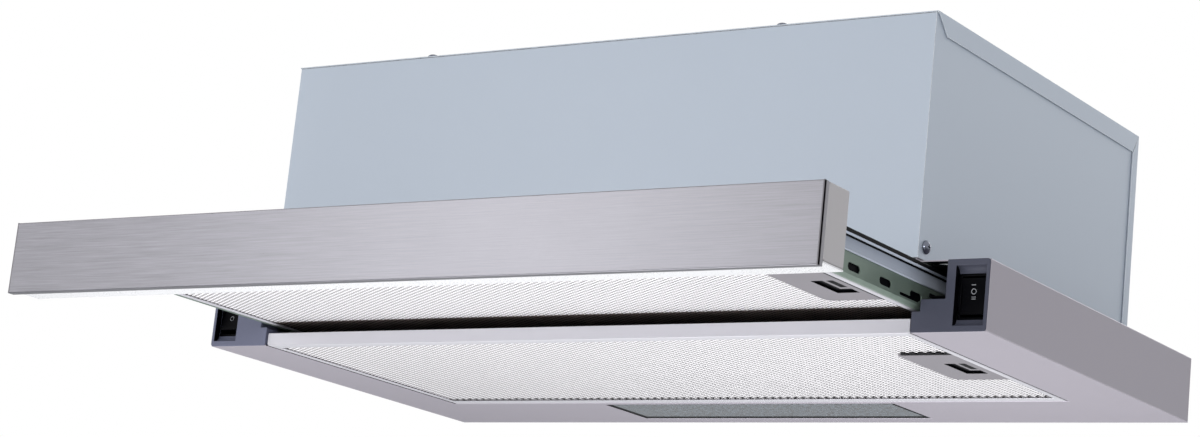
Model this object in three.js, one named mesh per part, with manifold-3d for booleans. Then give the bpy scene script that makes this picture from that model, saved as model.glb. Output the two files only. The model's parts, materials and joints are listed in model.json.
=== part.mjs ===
// A slide-out cooker hood, 60 cm wide, for hanging under a wall cabinet.
// Millimetres, +X to the right, +Y towards the wall, +Z up.
// y = 0 is the wall, z = 0 is the shoulder of the base frame, where the wall cabinet rests.
import * as THREE from "three";
import { mergeVertices } from "three/addons/utils/BufferGeometryUtils.js";
import Module from "manifold-3d";

const wasm = await Module();
wasm.setup();

// ---------------------------------------------------------------- driving dimensions

const fit = 0.3; // gap between pieces that touch
const sheet = 0.8; // folded steel

// Base frame and case
const hoodWidth = 598;
const baseHeight = 43.5;
const baseDepth = 297; // wall to the faces of the end caps
const caseWidth = 499.5;
const caseHeight = 155; // above the shoulder
const caseSetback = 2; // case front behind the end caps
const caseLift = 2.4; // bottom edge of the case above the shoulder
const capeHeight = 12; // how far the back sheet hangs below the shoulder
const upstand = 16; // base flanges that stand up inside the case
const topFlange = 13; // top sheet folded over the sides
const rearFlange = 8; // back sheet folded over the sides
const topFlangeSlant = 14; // slanted front end of the top flange
const foldGap = 0.6; // open line at the mitre
const screwLedge = 16; // front sheet folded in under the top
const returnHeight = 9.5; // turned-up rim of the filter opening

// Grease filters, two alike
const sideZone = 50.5; // filter's edge to the outside of the hood, with the slides between
const lampStrip = 78; // depth behind the filters, with the lamp
const filterThickness = 8.8;
const filterWall = 1;
const filterLip = 8.7; // along the front and the rear
const filterSideLip = 4.7;
const filterUpperLip = 4;
const filterChamfer = 1.2;
const filterSideGap = 1.1; // to the rim of the opening
const rearFilterSetback = 1.5;
const hookReach = 1.7; // hooks on the left edge, past the filter's edge
const latchReach = 0.7; // latch tongue past the right edge
const tongueWidth = 18;
const tongueThickness = 0.8;
const tongueInset = 30;
const hookSlot = 4.4; // height of the slots in the rim that take the hooks
const padSkin = 0.6; // outer layers of the mesh pad
const padRib = 0.6; // spacers between them
const padCells = 30;
const padGap = 0.3; // to the filter's frame

// Filter latch
const plateWidth = 38;
const plateFront = 65.5; // from the front edge of the filter
const plateLength = 77;
const plateThickness = 1.2;
const plateCorner = 6;
const fingerWidth = 14.7;
const fingerLength = 32;
const fingerInset = 5; // right side of the slot to the plate's right edge
const fingerFront = 25.5;
const latchTravel = 4.5;
const latchBodyLength = 44;
const latchBodyWidth = 22;
const latchTongueWidth = 14;
const latchThickness = 1.5;
const padEndGap = 9.5;
const padSideGap = 2.4; // beyond the latch's travel
const gripSlotWidth = 2.2;
const gripSlotLength = 14;
const gripInset = 0.8;

// Drawer
const drawerTravel = 166;
const closedGap = 1; // fascia to the end caps when closed
const stackGap = 6.2; // drawer filter above the rear filter
const fasciaHeight = 46.2;
const fasciaDrop = 4.8; // below the base frame
const panelReturn = 5;
const bodyDepth = 22;
const bodyLift = 2.1; // underside of the body above the panel's lower edge
const cheekWidth = 6;
const bodyWall = 1;
const armReach = 4.1; // outside of the arms past the filter's edge
const armHeight = 25; // above the drawer filter's underside
const armRearGap = 14; // arms shorter than the base is deep
const armBend = 2;
const armTab = 14;
const armSlotLength = 14.4;
const armSlotHeight = 4.6;
const armSlotPitch = 37.2;
const armSlotStart = 76; // first slot in front of the end caps
const keywayAt = 9; // middle of the keyway in front of the end caps
const keywayLength = 24;
const keywayHeight = 2;
const crossBarDepth = 3;
const crossBarHeight = 14;

// Telescopic slides
const railSheet = 0.9;
const fixedRailHeight = 19.7;
const fixedRailDepth = 14.2;
const railRearGap = 19; // fixed rails shorter than the base is deep
const railFront = 8; // behind the faces of the end caps
const railLip = 1.6;
const ballGap = 2.6;
const movingRailDepth = 9.5;
const movingRailGap = 17; // drawer rails shorter than the base is deep
const ballRadius = 1;
const ballCount = 6; // in each row
const ballPitch = 13;
const cageSheet = 0.7;
const cageOffset = 3; // web of the cage outside the drawer rail
const bracketFlange = 12.5;

// End caps and switches
const capDepth = 18;
const capFace = 2.4;
const capWall = 1.2;
const capRadius = 2;
const notchClearance = 2.7; // floor of the notch below the fixed rail
const notchInset = 2.4; // beside the drawer's arm
const stepClearance = 2.4; // lower step below the drawer filter
const switchWidth = 19.5;
const switchHeight = 36;
const switchInset = 2.4; // outer edge of the recess to the outside of the hood
const recessDepth = 5;
const recessWall = 1.5;
const rampHeight = 4.5;
const switchBodyHeight = 27;
const switchBodyDepth = 22;
const switchShell = 1.3;
const rockerHeight = 22;
const rockerPivotDepth = 10;
const rockerSwing = 10; // degrees each way
const pivotRadius = 1.2;
const terminalLength = 6;

// Lamp, in the rear strip of the base
const lensHalf = 118;
const lensGap = 5; // rim of the filter opening to the lens opening
const lensRear = 17; // lens opening to the wall
const lensRim = 2.4;
const lensThickness = 2.5;
const lensOverlap = 2.2;
const trayHalf = 150;
const trayHeight = 37;
const trayWall = 1;
const holderLength = 24;
const holderWidth = 26;
const socketRadius = 10;
const bulbRadius = 12.5;
const bulbLength = 78;
const bulbCapRadius = 7;
const bulbCapLength = 16;

// Blower
const blowerAxisY = -168;
const blowerAxisZ = 78;
const impellerRadius = 51.5;
const impellerBore = 42;
const impellerHalf = 48;
const bladeCount = 26;
const bladeThickness = 1;
const bladeSweep = 14; // degrees of forward curve
const hubRadius = 9;
const hubHalf = 12;
const discThickness = 2;
const ringThickness = 2;
const shaftRadius = 3;
const scrollHalf = 54;
const scrollWall = 1.8;
const scrollInner = 57; // wall radius at the cut-off
const scrollOuter = 80; // wall radius at the outlet
const cutoffAngle = 115; // degrees
const inletRadius = 44;
const inletFlare = 4;
const motorRadius = 37;
const motorFront = 15;
const motorLength = 43;
const bracketSheet = 2;
const bracketHole = 14;
const bracketArmWidth = 10;

// Duct collar, with damper flaps
const collarRadius = 60;
const collarWall = 2;
const collarHeight = 26;
const collarFlange = 76;
const collarPlate = 2;
const flapThickness = 1.2;
const flapHeight = 6; // above the collar plate
const flapRadius = 56.5;
const barHalf = 1.5;
const barHeight = 3.5;
const flapPin = 0.8;

// Electrical pieces
const capacitorRadius = 14;
const capacitorLength = 62;
const capacitorX = -110;
const terminalBoxSize = [72, 44, 28];
const terminalBoxAt = [-190, -80];
const grommetRadius = 9;
const grommetBore = 4;
const microSize = [6, 6, 10];
const leverThickness = 0.5;
const leverLength = 12;
const leverLean = 5; // degrees away from the body when nothing presses it

// Screws
const screwHead = 4.2;
const screwHeadHeight = 2.6;
const screwShank = 1.9;
const screwHole = 2.2;
const sideScrewY = 10.6; // behind the end cap faces
const sideScrewZ = 10.3; // above the shoulder
const topScrewX = 138;
const topScrewY = 6; // behind the case front

// ---------------------------------------------------------------- derived places

const hoodHalf = hoodWidth / 2;
const caseHalf = caseWidth / 2;
const under = -baseHeight;
const front = -baseDepth; // faces of the end caps
const caseFront = front + caseSetback;
const caseTop = caseHeight;
const skin = sheet + fit; // one sheet and the gap to the next
const floorTop = under + skin; // what stands on the base's bottom sheet
const filterHalf = hoodHalf - sideZone;
const filterDepth = baseDepth - lampStrip - 2 * rearFilterSetback;
const openingHalf = filterHalf + filterSideGap;
const rearFilterFront = front + rearFilterSetback;
const openingRear = rearFilterFront + filterDepth + rearFilterSetback;
const lensStart = openingRear + lensGap;
const lensEnd = -lensRear;
const armOuter = filterHalf + armReach;
const armLength = baseDepth - armRearGap;
const fixedRailLength = baseDepth - railRearGap;
const movingRailLength = baseDepth - movingRailGap;
const drawerFloor = under + filterThickness + stackGap;
const fasciaBottom = under - fasciaDrop;
const fasciaTop = fasciaBottom + fasciaHeight;
const bodyBottom = fasciaBottom + bodyLift;
const fasciaRear = front - drawerTravel - closedGap;
const panelRear = fasciaRear - bodyDepth;
const fasciaFront = panelRear - panelReturn;
const drawerFront = fasciaRear + fit;
const drawerFilterFront = drawerFront + sheet + fit;
const armTop = drawerFloor + armHeight;
const railTop = -skin;
const railBottom = railTop - fixedRailHeight;
const movingTop = railTop - railSheet - ballGap;
const movingBottom = railBottom + railSheet + ballGap;
const movingInner = armOuter + fit;
const movingOuter = movingInner + movingRailDepth;
const cageOuter = movingOuter + cageOffset + cageSheet;
const fixedOuter = cageOuter + ballGap + cageSheet + railSheet;
const fixedInner = fixedOuter - fixedRailDepth;
const ballX = (fixedInner + railSheet + movingOuter) / 2;
const notchSide = fixedOuter + sheet;
const notchFloor = railBottom - notchClearance;
const stepFloor = drawerFloor - stepClearance;
const capOuter = hoodHalf - skin;
const capTop = -skin;
const recessRight = hoodHalf - switchInset;
const recessLeft = recessRight - switchWidth;
const switchX = (recessLeft + recessRight) / 2;
const switchZ = under / 2;
const panelUnder = caseTop - skin; // what hangs below the top panel
const ductY = blowerAxisY + (scrollOuter + scrollInner * Math.cos((cutoffAngle * Math.PI) / 180)) / 2;

// ---------------------------------------------------------------- solids from three.js geometry

// A closed three.js geometry as a solid, its faces turned outwards.
function solidOf(geometry) {
  const bare = geometry.clone();
  bare.deleteAttribute("normal");
  bare.deleteAttribute("uv");
  const merged = mergeVertices(bare, 1e-4);
  const index = merged.index.array;
  const faces = [];
  for (let i = 0; i < index.length; i += 3) {
    const [a, b, c] = [index[i], index[i + 1], index[i + 2]];
    if (a !== b && b !== c && c !== a) faces.push(a, b, c);
  }
  const vertProperties = new Float32Array(merged.attributes.position.array);
  const solid = new wasm.Manifold(
    new wasm.Mesh({ numProp: 3, vertProperties, triVerts: new Uint32Array(faces) }),
  );
  if (solid.volume() > 0) return solid;
  return new wasm.Manifold(
    new wasm.Mesh({ numProp: 3, vertProperties, triVerts: new Uint32Array(faces.reverse()) }),
  );
}

// A solid's triangles as a three.js geometry.
function geometryOf(solid) {
  const mesh = solid.getMesh();
  const geometry = new THREE.BufferGeometry();
  const points = new Float32Array(mesh.numVert * 3);
  for (let i = 0; i < mesh.numVert; i++)
    for (let k = 0; k < 3; k++) points[i * 3 + k] = mesh.vertProperties[i * mesh.numProp + k];
  geometry.setAttribute("position", new THREE.BufferAttribute(points, 3));
  geometry.setIndex(new THREE.BufferAttribute(new Uint32Array(mesh.triVerts), 1));
  return geometry;
}

const join = (...solids) => solids.reduce((a, b) => a.add(b));
const cut = (solid, ...tools) => tools.reduce((a, b) => a.subtract(b), solid);

// A solid moved by a three.js matrix, such as one that mirrors it left to right.
function moved(solid, matrix) {
  return solidOf(geometryOf(solid).applyMatrix4(matrix));
}
const mirrored = (solid) => moved(solid, new THREE.Matrix4().makeScale(-1, 1, 1));

function box([x0, x1], [y0, y1], [z0, z1]) {
  const geometry = new THREE.BoxGeometry(x1 - x0, y1 - y0, z1 - z0);
  geometry.translate((x0 + x1) / 2, (y0 + y1) / 2, (z0 + z1) / 2);
  return solidOf(geometry);
}

// An outline drawn in a plane ("xy", "xz" or "yz") and extruded between two places on the third axis.
function prism(plane, outline, from, to) {
  const shape = new THREE.Shape(outline.map(([a, b]) => new THREE.Vector2(a, b)));
  const geometry = new THREE.ExtrudeGeometry(shape, { depth: to - from, bevelEnabled: false });
  if (plane === "xz") {
    geometry.translate(0, 0, -to);
    geometry.rotateX(Math.PI / 2);
    return solidOf(geometry);
  }
  geometry.translate(0, 0, from);
  if (plane === "yz") {
    const [x, y, z] = [[1, 0, 0], [0, 1, 0], [0, 0, 1]].map((v) => new THREE.Vector3(...v));
    geometry.applyMatrix4(new THREE.Matrix4().makeBasis(y, z, x));
  }
  return solidOf(geometry);
}

// A profile of [radius, distance along the axis] points turned about an axis through a place.
function turned(axis, profile, sides, [x, y, z]) {
  const geometry = new THREE.LatheGeometry(
    profile.map(([r, h]) => new THREE.Vector2(r, h)),
    sides,
  );
  if (axis === "z") geometry.rotateX(Math.PI / 2);
  if (axis === "x") geometry.rotateZ(-Math.PI / 2);
  geometry.translate(x, y, z);
  return solidOf(geometry);
}

function rod(axis, radius, from, to, sides, place) {
  return turned(axis, [[0, from], [radius, from], [radius, to], [0, to]], sides, place);
}

function ring(axis, inner, outer, from, to, sides, place) {
  const profile = [[inner, from], [outer, from], [outer, to], [inner, to], [inner, from]];
  return turned(axis, profile, sides, place);
}

function arc([cx, cy], radius, fromDegrees, toDegrees, steps) {
  const points = [];
  for (let i = 0; i <= steps; i++) {
    const t = ((fromDegrees + ((toDegrees - fromDegrees) * i) / steps) * Math.PI) / 180;
    points.push([cx + radius * Math.cos(t), cy + radius * Math.sin(t)]);
  }
  return points;
}

// Where a corner goes when both of its sides move left by a distance.
function leftOf(before, corner, after, distance) {
  const direction = (p, q) => {
    const length = Math.hypot(q[0] - p[0], q[1] - p[1]);
    return [(q[0] - p[0]) / length, (q[1] - p[1]) / length];
  };
  const a = before ? direction(before, corner) : direction(corner, after);
  const b = after ? direction(corner, after) : a;
  const mitre = distance / (1 + a[0] * b[0] + a[1] * b[1]);
  return [corner[0] - mitre * (a[1] + b[1]), corner[1] + mitre * (a[0] + b[0])];
}

// The outline of a sheet folded along a line of points, its thickness to the left of the line.
function folded(points, thickness) {
  const inner = points.map((p, i) => leftOf(points[i - 1], p, points[i + 1], thickness));
  return [...points, ...inner.reverse()];
}

// A closed outline, drawn anticlockwise, moved inwards all round.
function inset(outline, distance) {
  const count = outline.length;
  return outline.map((p, i) =>
    leftOf(outline[(i + count - 1) % count], p, outline[(i + 1) % count], distance),
  );
}

// A channel's three sides, open to the right, as the outer line of a folded sheet.
const channelOpenRight = (x0, x1, z0, z1) => [[x1, z1], [x0, z1], [x0, z0], [x1, z0]];

function roundedRectangle([x0, x1], [y0, y1], radius, steps) {
  return [
    ...arc([x1 - radius, y1 - radius], radius, 0, 90, steps),
    ...arc([x0 + radius, y1 - radius], radius, 90, 180, steps),
    ...arc([x0 + radius, y0 + radius], radius, 180, 270, steps),
    ...arc([x1 - radius, y0 + radius], radius, 270, 360, steps),
  ];
}

// ---------------------------------------------------------------- case

const sideScrewAt = [front + sideScrewY, sideScrewZ];
const topScrewAt = [topScrewX, caseFront + topScrewY];

// Front and both sides, folded from one sheet, with a ledge under the top panel.
function caseFrontSides() {
  const plan = folded(
    [[-caseHalf, -skin], [-caseHalf, caseFront], [caseHalf, caseFront], [caseHalf, -skin]],
    sheet,
  );
  const ledgeHalf = caseHalf - topFlange;
  return cut(
    join(
      prism("xy", plan, caseLift, caseTop - skin),
      box([-ledgeHalf, ledgeHalf], [caseFront, caseFront + screwLedge], [panelUnder - sheet, panelUnder]),
    ),
    rod("x", screwHole, -hoodHalf, hoodHalf, 16, [0, ...sideScrewAt]),
    ...[-1, 1].map((side) =>
      rod("z", screwHole, panelUnder - skin, panelUnder + sheet, 16, [
        side * topScrewAt[0],
        topScrewAt[1],
        0,
      ]),
    ),
  );
}

// The flange over one side: along the top, slanted at the front, and down the rear.
function sideFlange() {
  const outer = caseHalf + skin;
  const low = caseTop - topFlange;
  const outline = [
    [caseFront + fit, caseTop],
    [caseFront + topFlangeSlant, low],
    [-rearFlange, low],
    [-rearFlange, caseLift],
    [0, caseLift],
    [0, caseTop],
  ];
  const mitre = [
    [-rearFlange - foldGap, low - foldGap],
    [-rearFlange, low - foldGap],
    [-sheet, caseTop - sheet - foldGap],
    [-sheet, caseTop - sheet],
    [-rearFlange - foldGap, low],
  ];
  return cut(
    prism("yz", outline, outer - sheet, outer),
    prism("yz", mitre, outer - skin, outer + fit),
  );
}

// Top and back, folded from one sheet, with flanges over the sides.
function caseTopBack() {
  const outer = caseHalf + skin;
  const profile = folded([[0, -capeHeight], [0, caseTop], [caseFront, caseTop]], sheet);
  const flange = sideFlange();
  const body = cut(
    prism("yz", profile, -outer, outer),
    ...[-1, 1].map((side) =>
      box(
        [side * outer - sheet - fit, side * outer + sheet + fit],
        [-sheet - fit, fit],
        [-capeHeight - fit, caseLift],
      ),
    ),
  );
  return cut(
    join(body, flange, mirrored(flange)),
    rod("z", collarRadius - collarWall, caseTop - skin, caseTop + sheet, 48, [0, ductY, 0]),
    rod("z", grommetRadius - 2 + fit, caseTop - skin, caseTop + sheet, 24, [...terminalBoxAt, 0]),
    ...[-1, 1].map((side) =>
      rod("z", screwHole, caseTop - skin, caseTop + sheet, 16, [side * topScrewAt[0], topScrewAt[1], 0]),
    ),
  );
}

// ---------------------------------------------------------------- base frame

function baseFrame() {
  const rear = -skin;
  const tray = cut(
    box([-hoodHalf, hoodHalf], [front + skin, rear], [under, 0]),
    box([sheet - hoodHalf, hoodHalf - sheet], [front - 1, rear - sheet], [under + sheet, -sheet]),
    box([-openingHalf, openingHalf], [front - 1, openingRear], [under - 1, under + sheet + 1]),
    box(
      [skin + sheet - caseHalf, caseHalf - skin - sheet],
      [front - 1, rear - sheet],
      [-sheet - 1, 1],
    ),
  );
  const rimSide = prism(
    "yz",
    [
      [front + capDepth + fit, under],
      [openingRear, under],
      [openingRear, under + returnHeight],
      [front + capDepth + returnHeight, under + returnHeight],
      [front + capDepth + fit, under + returnHeight / 2],
    ],
    openingHalf,
    openingHalf + sheet,
  );
  const upstandSide = box(
    [caseHalf - skin - sheet, caseHalf - skin],
    [caseFront + skin, rear],
    [-sheet, upstand],
  );
  const lensWalls = box(
    [-lensHalf - sheet, lensHalf + sheet],
    [lensStart - sheet, lensEnd + sheet],
    [under, under + sheet + lensRim],
  );
  const slotHeights = [under + sheet, under + sheet + hookSlot];
  const play = 2 * fit;
  const hookSlots = tonguePlaces(rearFilterFront).map((y) =>
    box([-openingHalf - skin, fit - openingHalf], [y - play, y + tongueWidth + play], slotHeights),
  );
  return cut(
    join(
      tray,
      rimSide,
      mirrored(rimSide),
      box([-openingHalf - sheet, openingHalf + sheet], [openingRear, openingRear + sheet], [
        under,
        under + returnHeight,
      ]),
      upstandSide,
      mirrored(upstandSide),
      box([skin - caseHalf, caseHalf - skin], [rear - sheet, rear], [-sheet, upstand]),
      lensWalls,
    ),
    box([-lensHalf, lensHalf], [lensStart, lensEnd], [
      under - 1,
      under + sheet + lensRim + 1,
    ]),
    rod("x", screwHole, -caseHalf, caseHalf, 16, [0, ...sideScrewAt]),
    ...hookSlots,
  );
}

// ---------------------------------------------------------------- end caps and switches

// The cap seen from the front, between its own inner, outer, lower and upper sides.
function capOutline(inner, outer, bottom, top) {
  return [
    [inner, bottom],
    ...arc([outer - capRadius, bottom + capRadius], capRadius, 270, 360, 4),
    ...arc([outer - capRadius, top - capRadius], capRadius, 0, 90, 4),
    [notchSide, top],
    [notchSide, notchFloor],
    [armOuter + notchInset, notchFloor],
    [armOuter + notchInset, stepFloor],
    [inner, stepFloor],
  ];
}

// A finger ramp, curved from the cap's face down to the switch.
function recessRamp(side) {
  const edge = switchZ + (side * switchHeight) / 2;
  const hollow = arc([front, edge - side * rampHeight], rampHeight, 90, 0, 6).map(([y, z]) => [
    front + ((y - front) / rampHeight) * recessDepth,
    edge - side * rampHeight + side * (z - edge + side * rampHeight),
  ]);
  const outline = [...hollow, [front + recessDepth, edge + side], [front, edge + side]];
  return prism("yz", outline, recessLeft - recessWall / 2, recessRight + recessWall / 2);
}

function endCap() {
  const plug = capOutline(openingHalf + sheet + fit, capOuter, floorTop, capTop);
  const face = capOutline(openingHalf, hoodHalf, under, 0);
  const shell = cut(
    join(prism("xz", plug, front, front + capDepth), prism("xz", face, front, front + sheet)),
    prism("xz", inset(plug, capWall), front + capFace, front + capDepth + 1),
  );
  const low = switchZ - switchHeight / 2;
  const high = switchZ + switchHeight / 2;
  const well = box([recessLeft - recessWall, recessRight + recessWall], [front, front + recessDepth], [
    Math.max(low - recessWall, floorTop),
    Math.min(high + recessWall, capTop),
  ]);
  const opening = box([recessLeft, recessRight], [front - 1, front + recessDepth + 1], [low, high]);
  return join(cut(join(shell, well), opening), recessRamp(-1), recessRamp(1));
}

// The switch body behind the recess, open to the front for its rocker.
function switchHousing() {
  const face = front + recessDepth + fit;
  const half = switchWidth / 2;
  const high = switchBodyHeight / 2;
  const rear = face + switchBodyDepth;
  const shell = cut(
    box([-half + fit, half - fit], [face, rear], [-high, high]),
    box(
      [switchShell + fit - switchWidth / 2, switchWidth / 2 - switchShell - fit],
      [face - 1, face + recessDepth * 2],
      [switchShell - high, high - switchShell],
    ),
    rod("x", pivotRadius + fit, -half, half, 16, [0, front + rockerPivotDepth, 0]),
  );
  const terminals = [-1, 0, 1].map((row) =>
    box([-switchWidth / 8, switchWidth / 8], [rear - 1, rear + terminalLength], [
      row * (high / 2) - sheet / 2,
      row * (high / 2) + sheet / 2,
    ]),
  );
  return join(shell, ...terminals);
}

// A rocker with a hollowed face and trunnions, drawn about its own pivot.
function rocker() {
  const high = rockerHeight / 2;
  const lip = rockerPivotDepth - recessDepth * 0.7;
  const dip = lip - 2;
  const faceArc = [-3, -2, -1, 0, 1, 2, 3].map((i) => [
    -dip - (lip - dip) * (i / 3) ** 2,
    (high * i) / 3,
  ]);
  const back = pivotRadius * 2;
  const outline = [...faceArc, [-1.5, high - 1], [back, 3], [back, -3], [-1.5, 1 - high]];
  const half = switchWidth / 2 - switchShell - fit * 2;
  return join(
    prism("yz", outline, -half, half),
    rod("x", pivotRadius, -half - switchShell, half + switchShell, 12, [0, 0, 0]),
  );
}

// ---------------------------------------------------------------- telescopic slides

const slideFront = front + railFront;

function fixedRail() {
  const [t, b] = [railTop, railBottom];
  const line = [
    [fixedInner, b + railLip + railSheet],
    [fixedInner, b],
    [fixedOuter, b],
    [fixedOuter, t],
    [fixedInner, t],
    [fixedInner, t - railLip - railSheet],
  ];
  return prism("xz", folded(line, railSheet), slideFront, slideFront + fixedRailLength);
}

function drawerRail() {
  const line = channelOpenRight(movingInner, movingOuter, movingBottom, movingTop);
  return prism("xz", folded(line, railSheet), drawerFront, drawerFront + movingRailLength);
}

// The cage holds a row of balls above and below the drawer rail.
function ballCage() {
  const upper = (movingTop + railTop - railSheet) / 2;
  const lower = (movingBottom + railBottom + railSheet) / 2;
  const near = ballX - 2.5 * ballRadius;
  const [b, t] = [lower - cageSheet / 2, upper + cageSheet / 2];
  const line = [[near, b], [cageOuter, b], [cageOuter, t], [near, t]];
  const length = ballPitch * ballCount;
  const start = slideFront + length / 4;
  const strip = prism("xz", folded(line, cageSheet), start, start + length);
  const balls = [];
  for (let i = 0; i < ballCount; i++)
    for (const z of [upper, lower]) {
      const ball = new THREE.SphereGeometry(ballRadius, 8, 5);
      ball.translate(ballX, start + ballPitch * (i + 0.5), z);
      balls.push(solidOf(ball));
    }
  return join(strip, ...balls);
}

// The bracket stands in the side channel and carries the fixed rail.
function railBracket() {
  const inner = fixedOuter + fit;
  const line = channelOpenRight(inner, inner + bracketFlange, floorTop, -skin);
  return prism("xz", folded(line, sheet), front + capDepth + fit * 2, -skin - sheet - fit);
}

// ---------------------------------------------------------------- drawer

// The brushed front, with short returns all round.
function fasciaPanel() {
  const tray = box([-hoodHalf, hoodHalf], [fasciaFront, panelRear], [fasciaBottom, fasciaTop]);
  return cut(
    tray,
    box([sheet - hoodHalf, hoodHalf - sheet], [fasciaFront + sheet, panelRear + 1], [
      fasciaBottom + sheet,
      fasciaTop - sheet,
    ]),
  );
}

// The folded section behind the panel: a tube between the cheeks, with a tongue inside the panel
// and its underside carried out below the cheeks.
function fasciaBody() {
  const half = hoodHalf - cheekWidth - fit;
  const nose = fasciaFront + skin;
  const step = panelRear + fit;
  const outer = [
    [nose, bodyBottom],
    [fasciaRear, bodyBottom],
    [fasciaRear, fasciaTop],
    [step, fasciaTop],
    [step, fasciaTop - skin],
    [nose, fasciaTop - skin],
  ];
  return join(
    cut(
      prism("yz", outer, -half, half),
      prism("yz", inset(outer, bodyWall), -half - 1, half + 1),
    ),
    box([-hoodHalf, hoodHalf], [step, fasciaRear], [bodyBottom, bodyBottom + bodyWall]),
  );
}

function fasciaCheek() {
  const bottom = bodyBottom + bodyWall + fit;
  const outline = roundedRectangle([panelRear + fit, fasciaRear], [bottom, fasciaTop], 1.2, 3);
  return prism("yz", outline, hoodHalf - cheekWidth, hoodHalf);
}

function slot(y, z, length, height) {
  const half = (length - height) / 2;
  return [...arc([y + half, z], height / 2, -90, 90, 6), ...arc([y - half, z], height / 2, 90, 270, 6)];
}

function drawerArm() {
  const inner = filterHalf + fit;
  const line = [
    [inner, drawerFloor],
    [armOuter - armBend, drawerFloor],
    [armOuter, drawerFloor + armBend],
    [armOuter, armTop],
  ];
  const web = prism("xz", folded(line, sheet), drawerFront, drawerFront + armLength);
  const tab = box([armOuter - armTab, armOuter], [drawerFront, drawerFront + sheet], [
    drawerFloor + filterThickness + fit,
    armTop,
  ]);
  const slotRow = drawerFloor + armBend + armSlotHeight;
  const slots = [0, 1, 2, 4].map((i) =>
    slot(front - armSlotStart + i * armSlotPitch, slotRow, armSlotLength, armSlotHeight),
  );
  const keyway = slot(front - keywayAt, slotRow - armSlotHeight / 2, keywayLength, keywayHeight);
  return cut(
    join(web, tab),
    ...[...slots, keyway].map((outline) => prism("yz", outline, inner - fit, armOuter + 1)),
  );
}

function crossBar() {
  const y = drawerFilterFront + filterDepth + fit;
  const z = drawerFloor + filterThickness + fit;
  const half = armOuter - skin;
  const line = [
    [y + crossBarDepth, z],
    [y, z],
    [y, z + crossBarHeight],
    [y + crossBarDepth, z + crossBarHeight],
  ];
  return prism("yz", folded(line.reverse(), sheet), -half, half);
}

// ---------------------------------------------------------------- grease filters

// The hooks on the left edge, by where they start.
const tonguePlaces = (filterFront) => [
  filterFront + tongueInset,
  filterFront + filterDepth - tongueInset - tongueWidth,
];
const latchMiddle = plateFront + fingerFront + fingerLength / 2;

function filterFrame(y0, z0) {
  const c = filterChamfer;
  const outline = [
    [c - filterHalf, 0],
    [filterHalf - c, 0],
    [filterHalf, c],
    [filterHalf, filterThickness],
    [-filterHalf, filterThickness],
    [-filterHalf, c],
  ].map(([x, z]) => [x, z0 + z]);
  const [y1, z1] = [y0 + filterDepth, z0 + filterThickness];
  const wall = filterHalf - filterWall;
  const side = filterHalf - filterSideLip;
  const upper = filterHalf - filterUpperLip;
  const tongues = tonguePlaces(y0).map((y) =>
    box([-filterHalf - hookReach, filterWall - filterHalf], [y, y + tongueWidth], [
      z0 + skin,
      z0 + skin + tongueThickness,
    ]),
  );
  const latchY = y0 + latchMiddle;
  return join(
    cut(
      prism("xz", outline, y0, y1),
      box([-wall, wall], [y0 + filterWall, y1 - filterWall], [z0 + sheet, z1 - sheet]),
      box([-side, side], [y0 + filterLip, y1 - filterLip], [z0 - 1, z0 + sheet + 1]),
      box([-upper, upper], [y0 + filterUpperLip, y1 - filterUpperLip], [z1 - sheet - 1, z1 + 1]),
      box(
        [wall - 1, filterHalf + 1],
        [latchY - latchTongueWidth / 2 - fit * 2, latchY + latchTongueWidth / 2 + fit * 2],
        [z0 + plateThickness, z0 + plateThickness + latchThickness + fit * 2],
      ),
    ),
    ...tongues,
  );
}

const plateRight = filterHalf - filterSideLip - fit;
const plateLeft = plateRight - plateWidth;

// Pad of aluminium mesh layers between the frame's lips, cut away round the latch.
function filterMesh(y0, z0) {
  const edge = filterWall + padGap;
  const half = filterHalf - edge;
  const low = z0 + sheet + padGap;
  const high = z0 + filterThickness - sheet - padGap;
  const pitch = (2 * half) / padCells;
  const cells = Array.from({ length: padCells }, (_, i) =>
    box([pitch * i - half + padRib / 2, pitch * (i + 1) - half - padRib / 2], [y0, y0 + filterDepth], [
      low + padSkin,
      high - padSkin,
    ]),
  );
  return cut(
    box([-half, half], [y0 + edge, y0 + filterDepth - edge], [low, high]),
    ...cells,
    box(
      [plateLeft - fit, filterHalf],
      [y0 + plateFront - fit, y0 + plateFront + plateLength + fit],
      [z0, z0 + filterThickness],
    ),
  );
}

const slotRight = plateRight - fingerInset;
const slotLeft = slotRight - fingerWidth;

function latchPlate(y0, z0) {
  const [a, b] = [y0 + plateFront, y0 + plateFront + plateLength];
  const outline = [
    [plateLeft, a],
    [plateRight, a],
    [plateRight, b],
    ...arc([plateLeft + plateCorner, b - plateCorner], plateCorner, 90, 180, 5),
  ];
  return cut(
    prism("xy", outline, z0, z0 + plateThickness),
    box([slotLeft, slotRight], [a + fingerFront, a + fingerFront + fingerLength], [
      z0 - 1,
      z0 + plateThickness + 1,
    ]),
  );
}

// The sliding latch: a thumb pad in the plate's slot, a body above it and a tongue through the frame.
function latchSlider(y0, z0) {
  const middle = y0 + latchMiddle;
  const low = z0 + plateThickness + fit;
  const high = low + latchThickness;
  const padFront = y0 + plateFront + fingerFront + fit;
  const padRear = padFront + fingerLength - padEndGap;
  const padLeft = slotLeft + latchTravel + padSideGap;
  const padRight = slotRight - fit;
  const bodyRight = plateRight - fit;
  const gripX = padRight - gripInset - gripSlotWidth;
  return cut(
    join(
      box(
        [bodyRight - latchBodyWidth, bodyRight],
        [middle - latchBodyLength / 2, middle + latchBodyLength / 2],
        [low, high],
      ),
      box([padLeft, padRight], [padFront, padRear], [z0 + fit, high]),
      box([bodyRight - 1, filterHalf + latchReach], [
        middle - latchTongueWidth / 2,
        middle + latchTongueWidth / 2,
      ], [low, high]),
    ),
    box(
      [gripX, gripX + gripSlotWidth],
      [padFront + gripInset, padFront + gripInset + gripSlotLength],
      [z0, low],
    ),
  );
}

// ---------------------------------------------------------------- lamp

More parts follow.
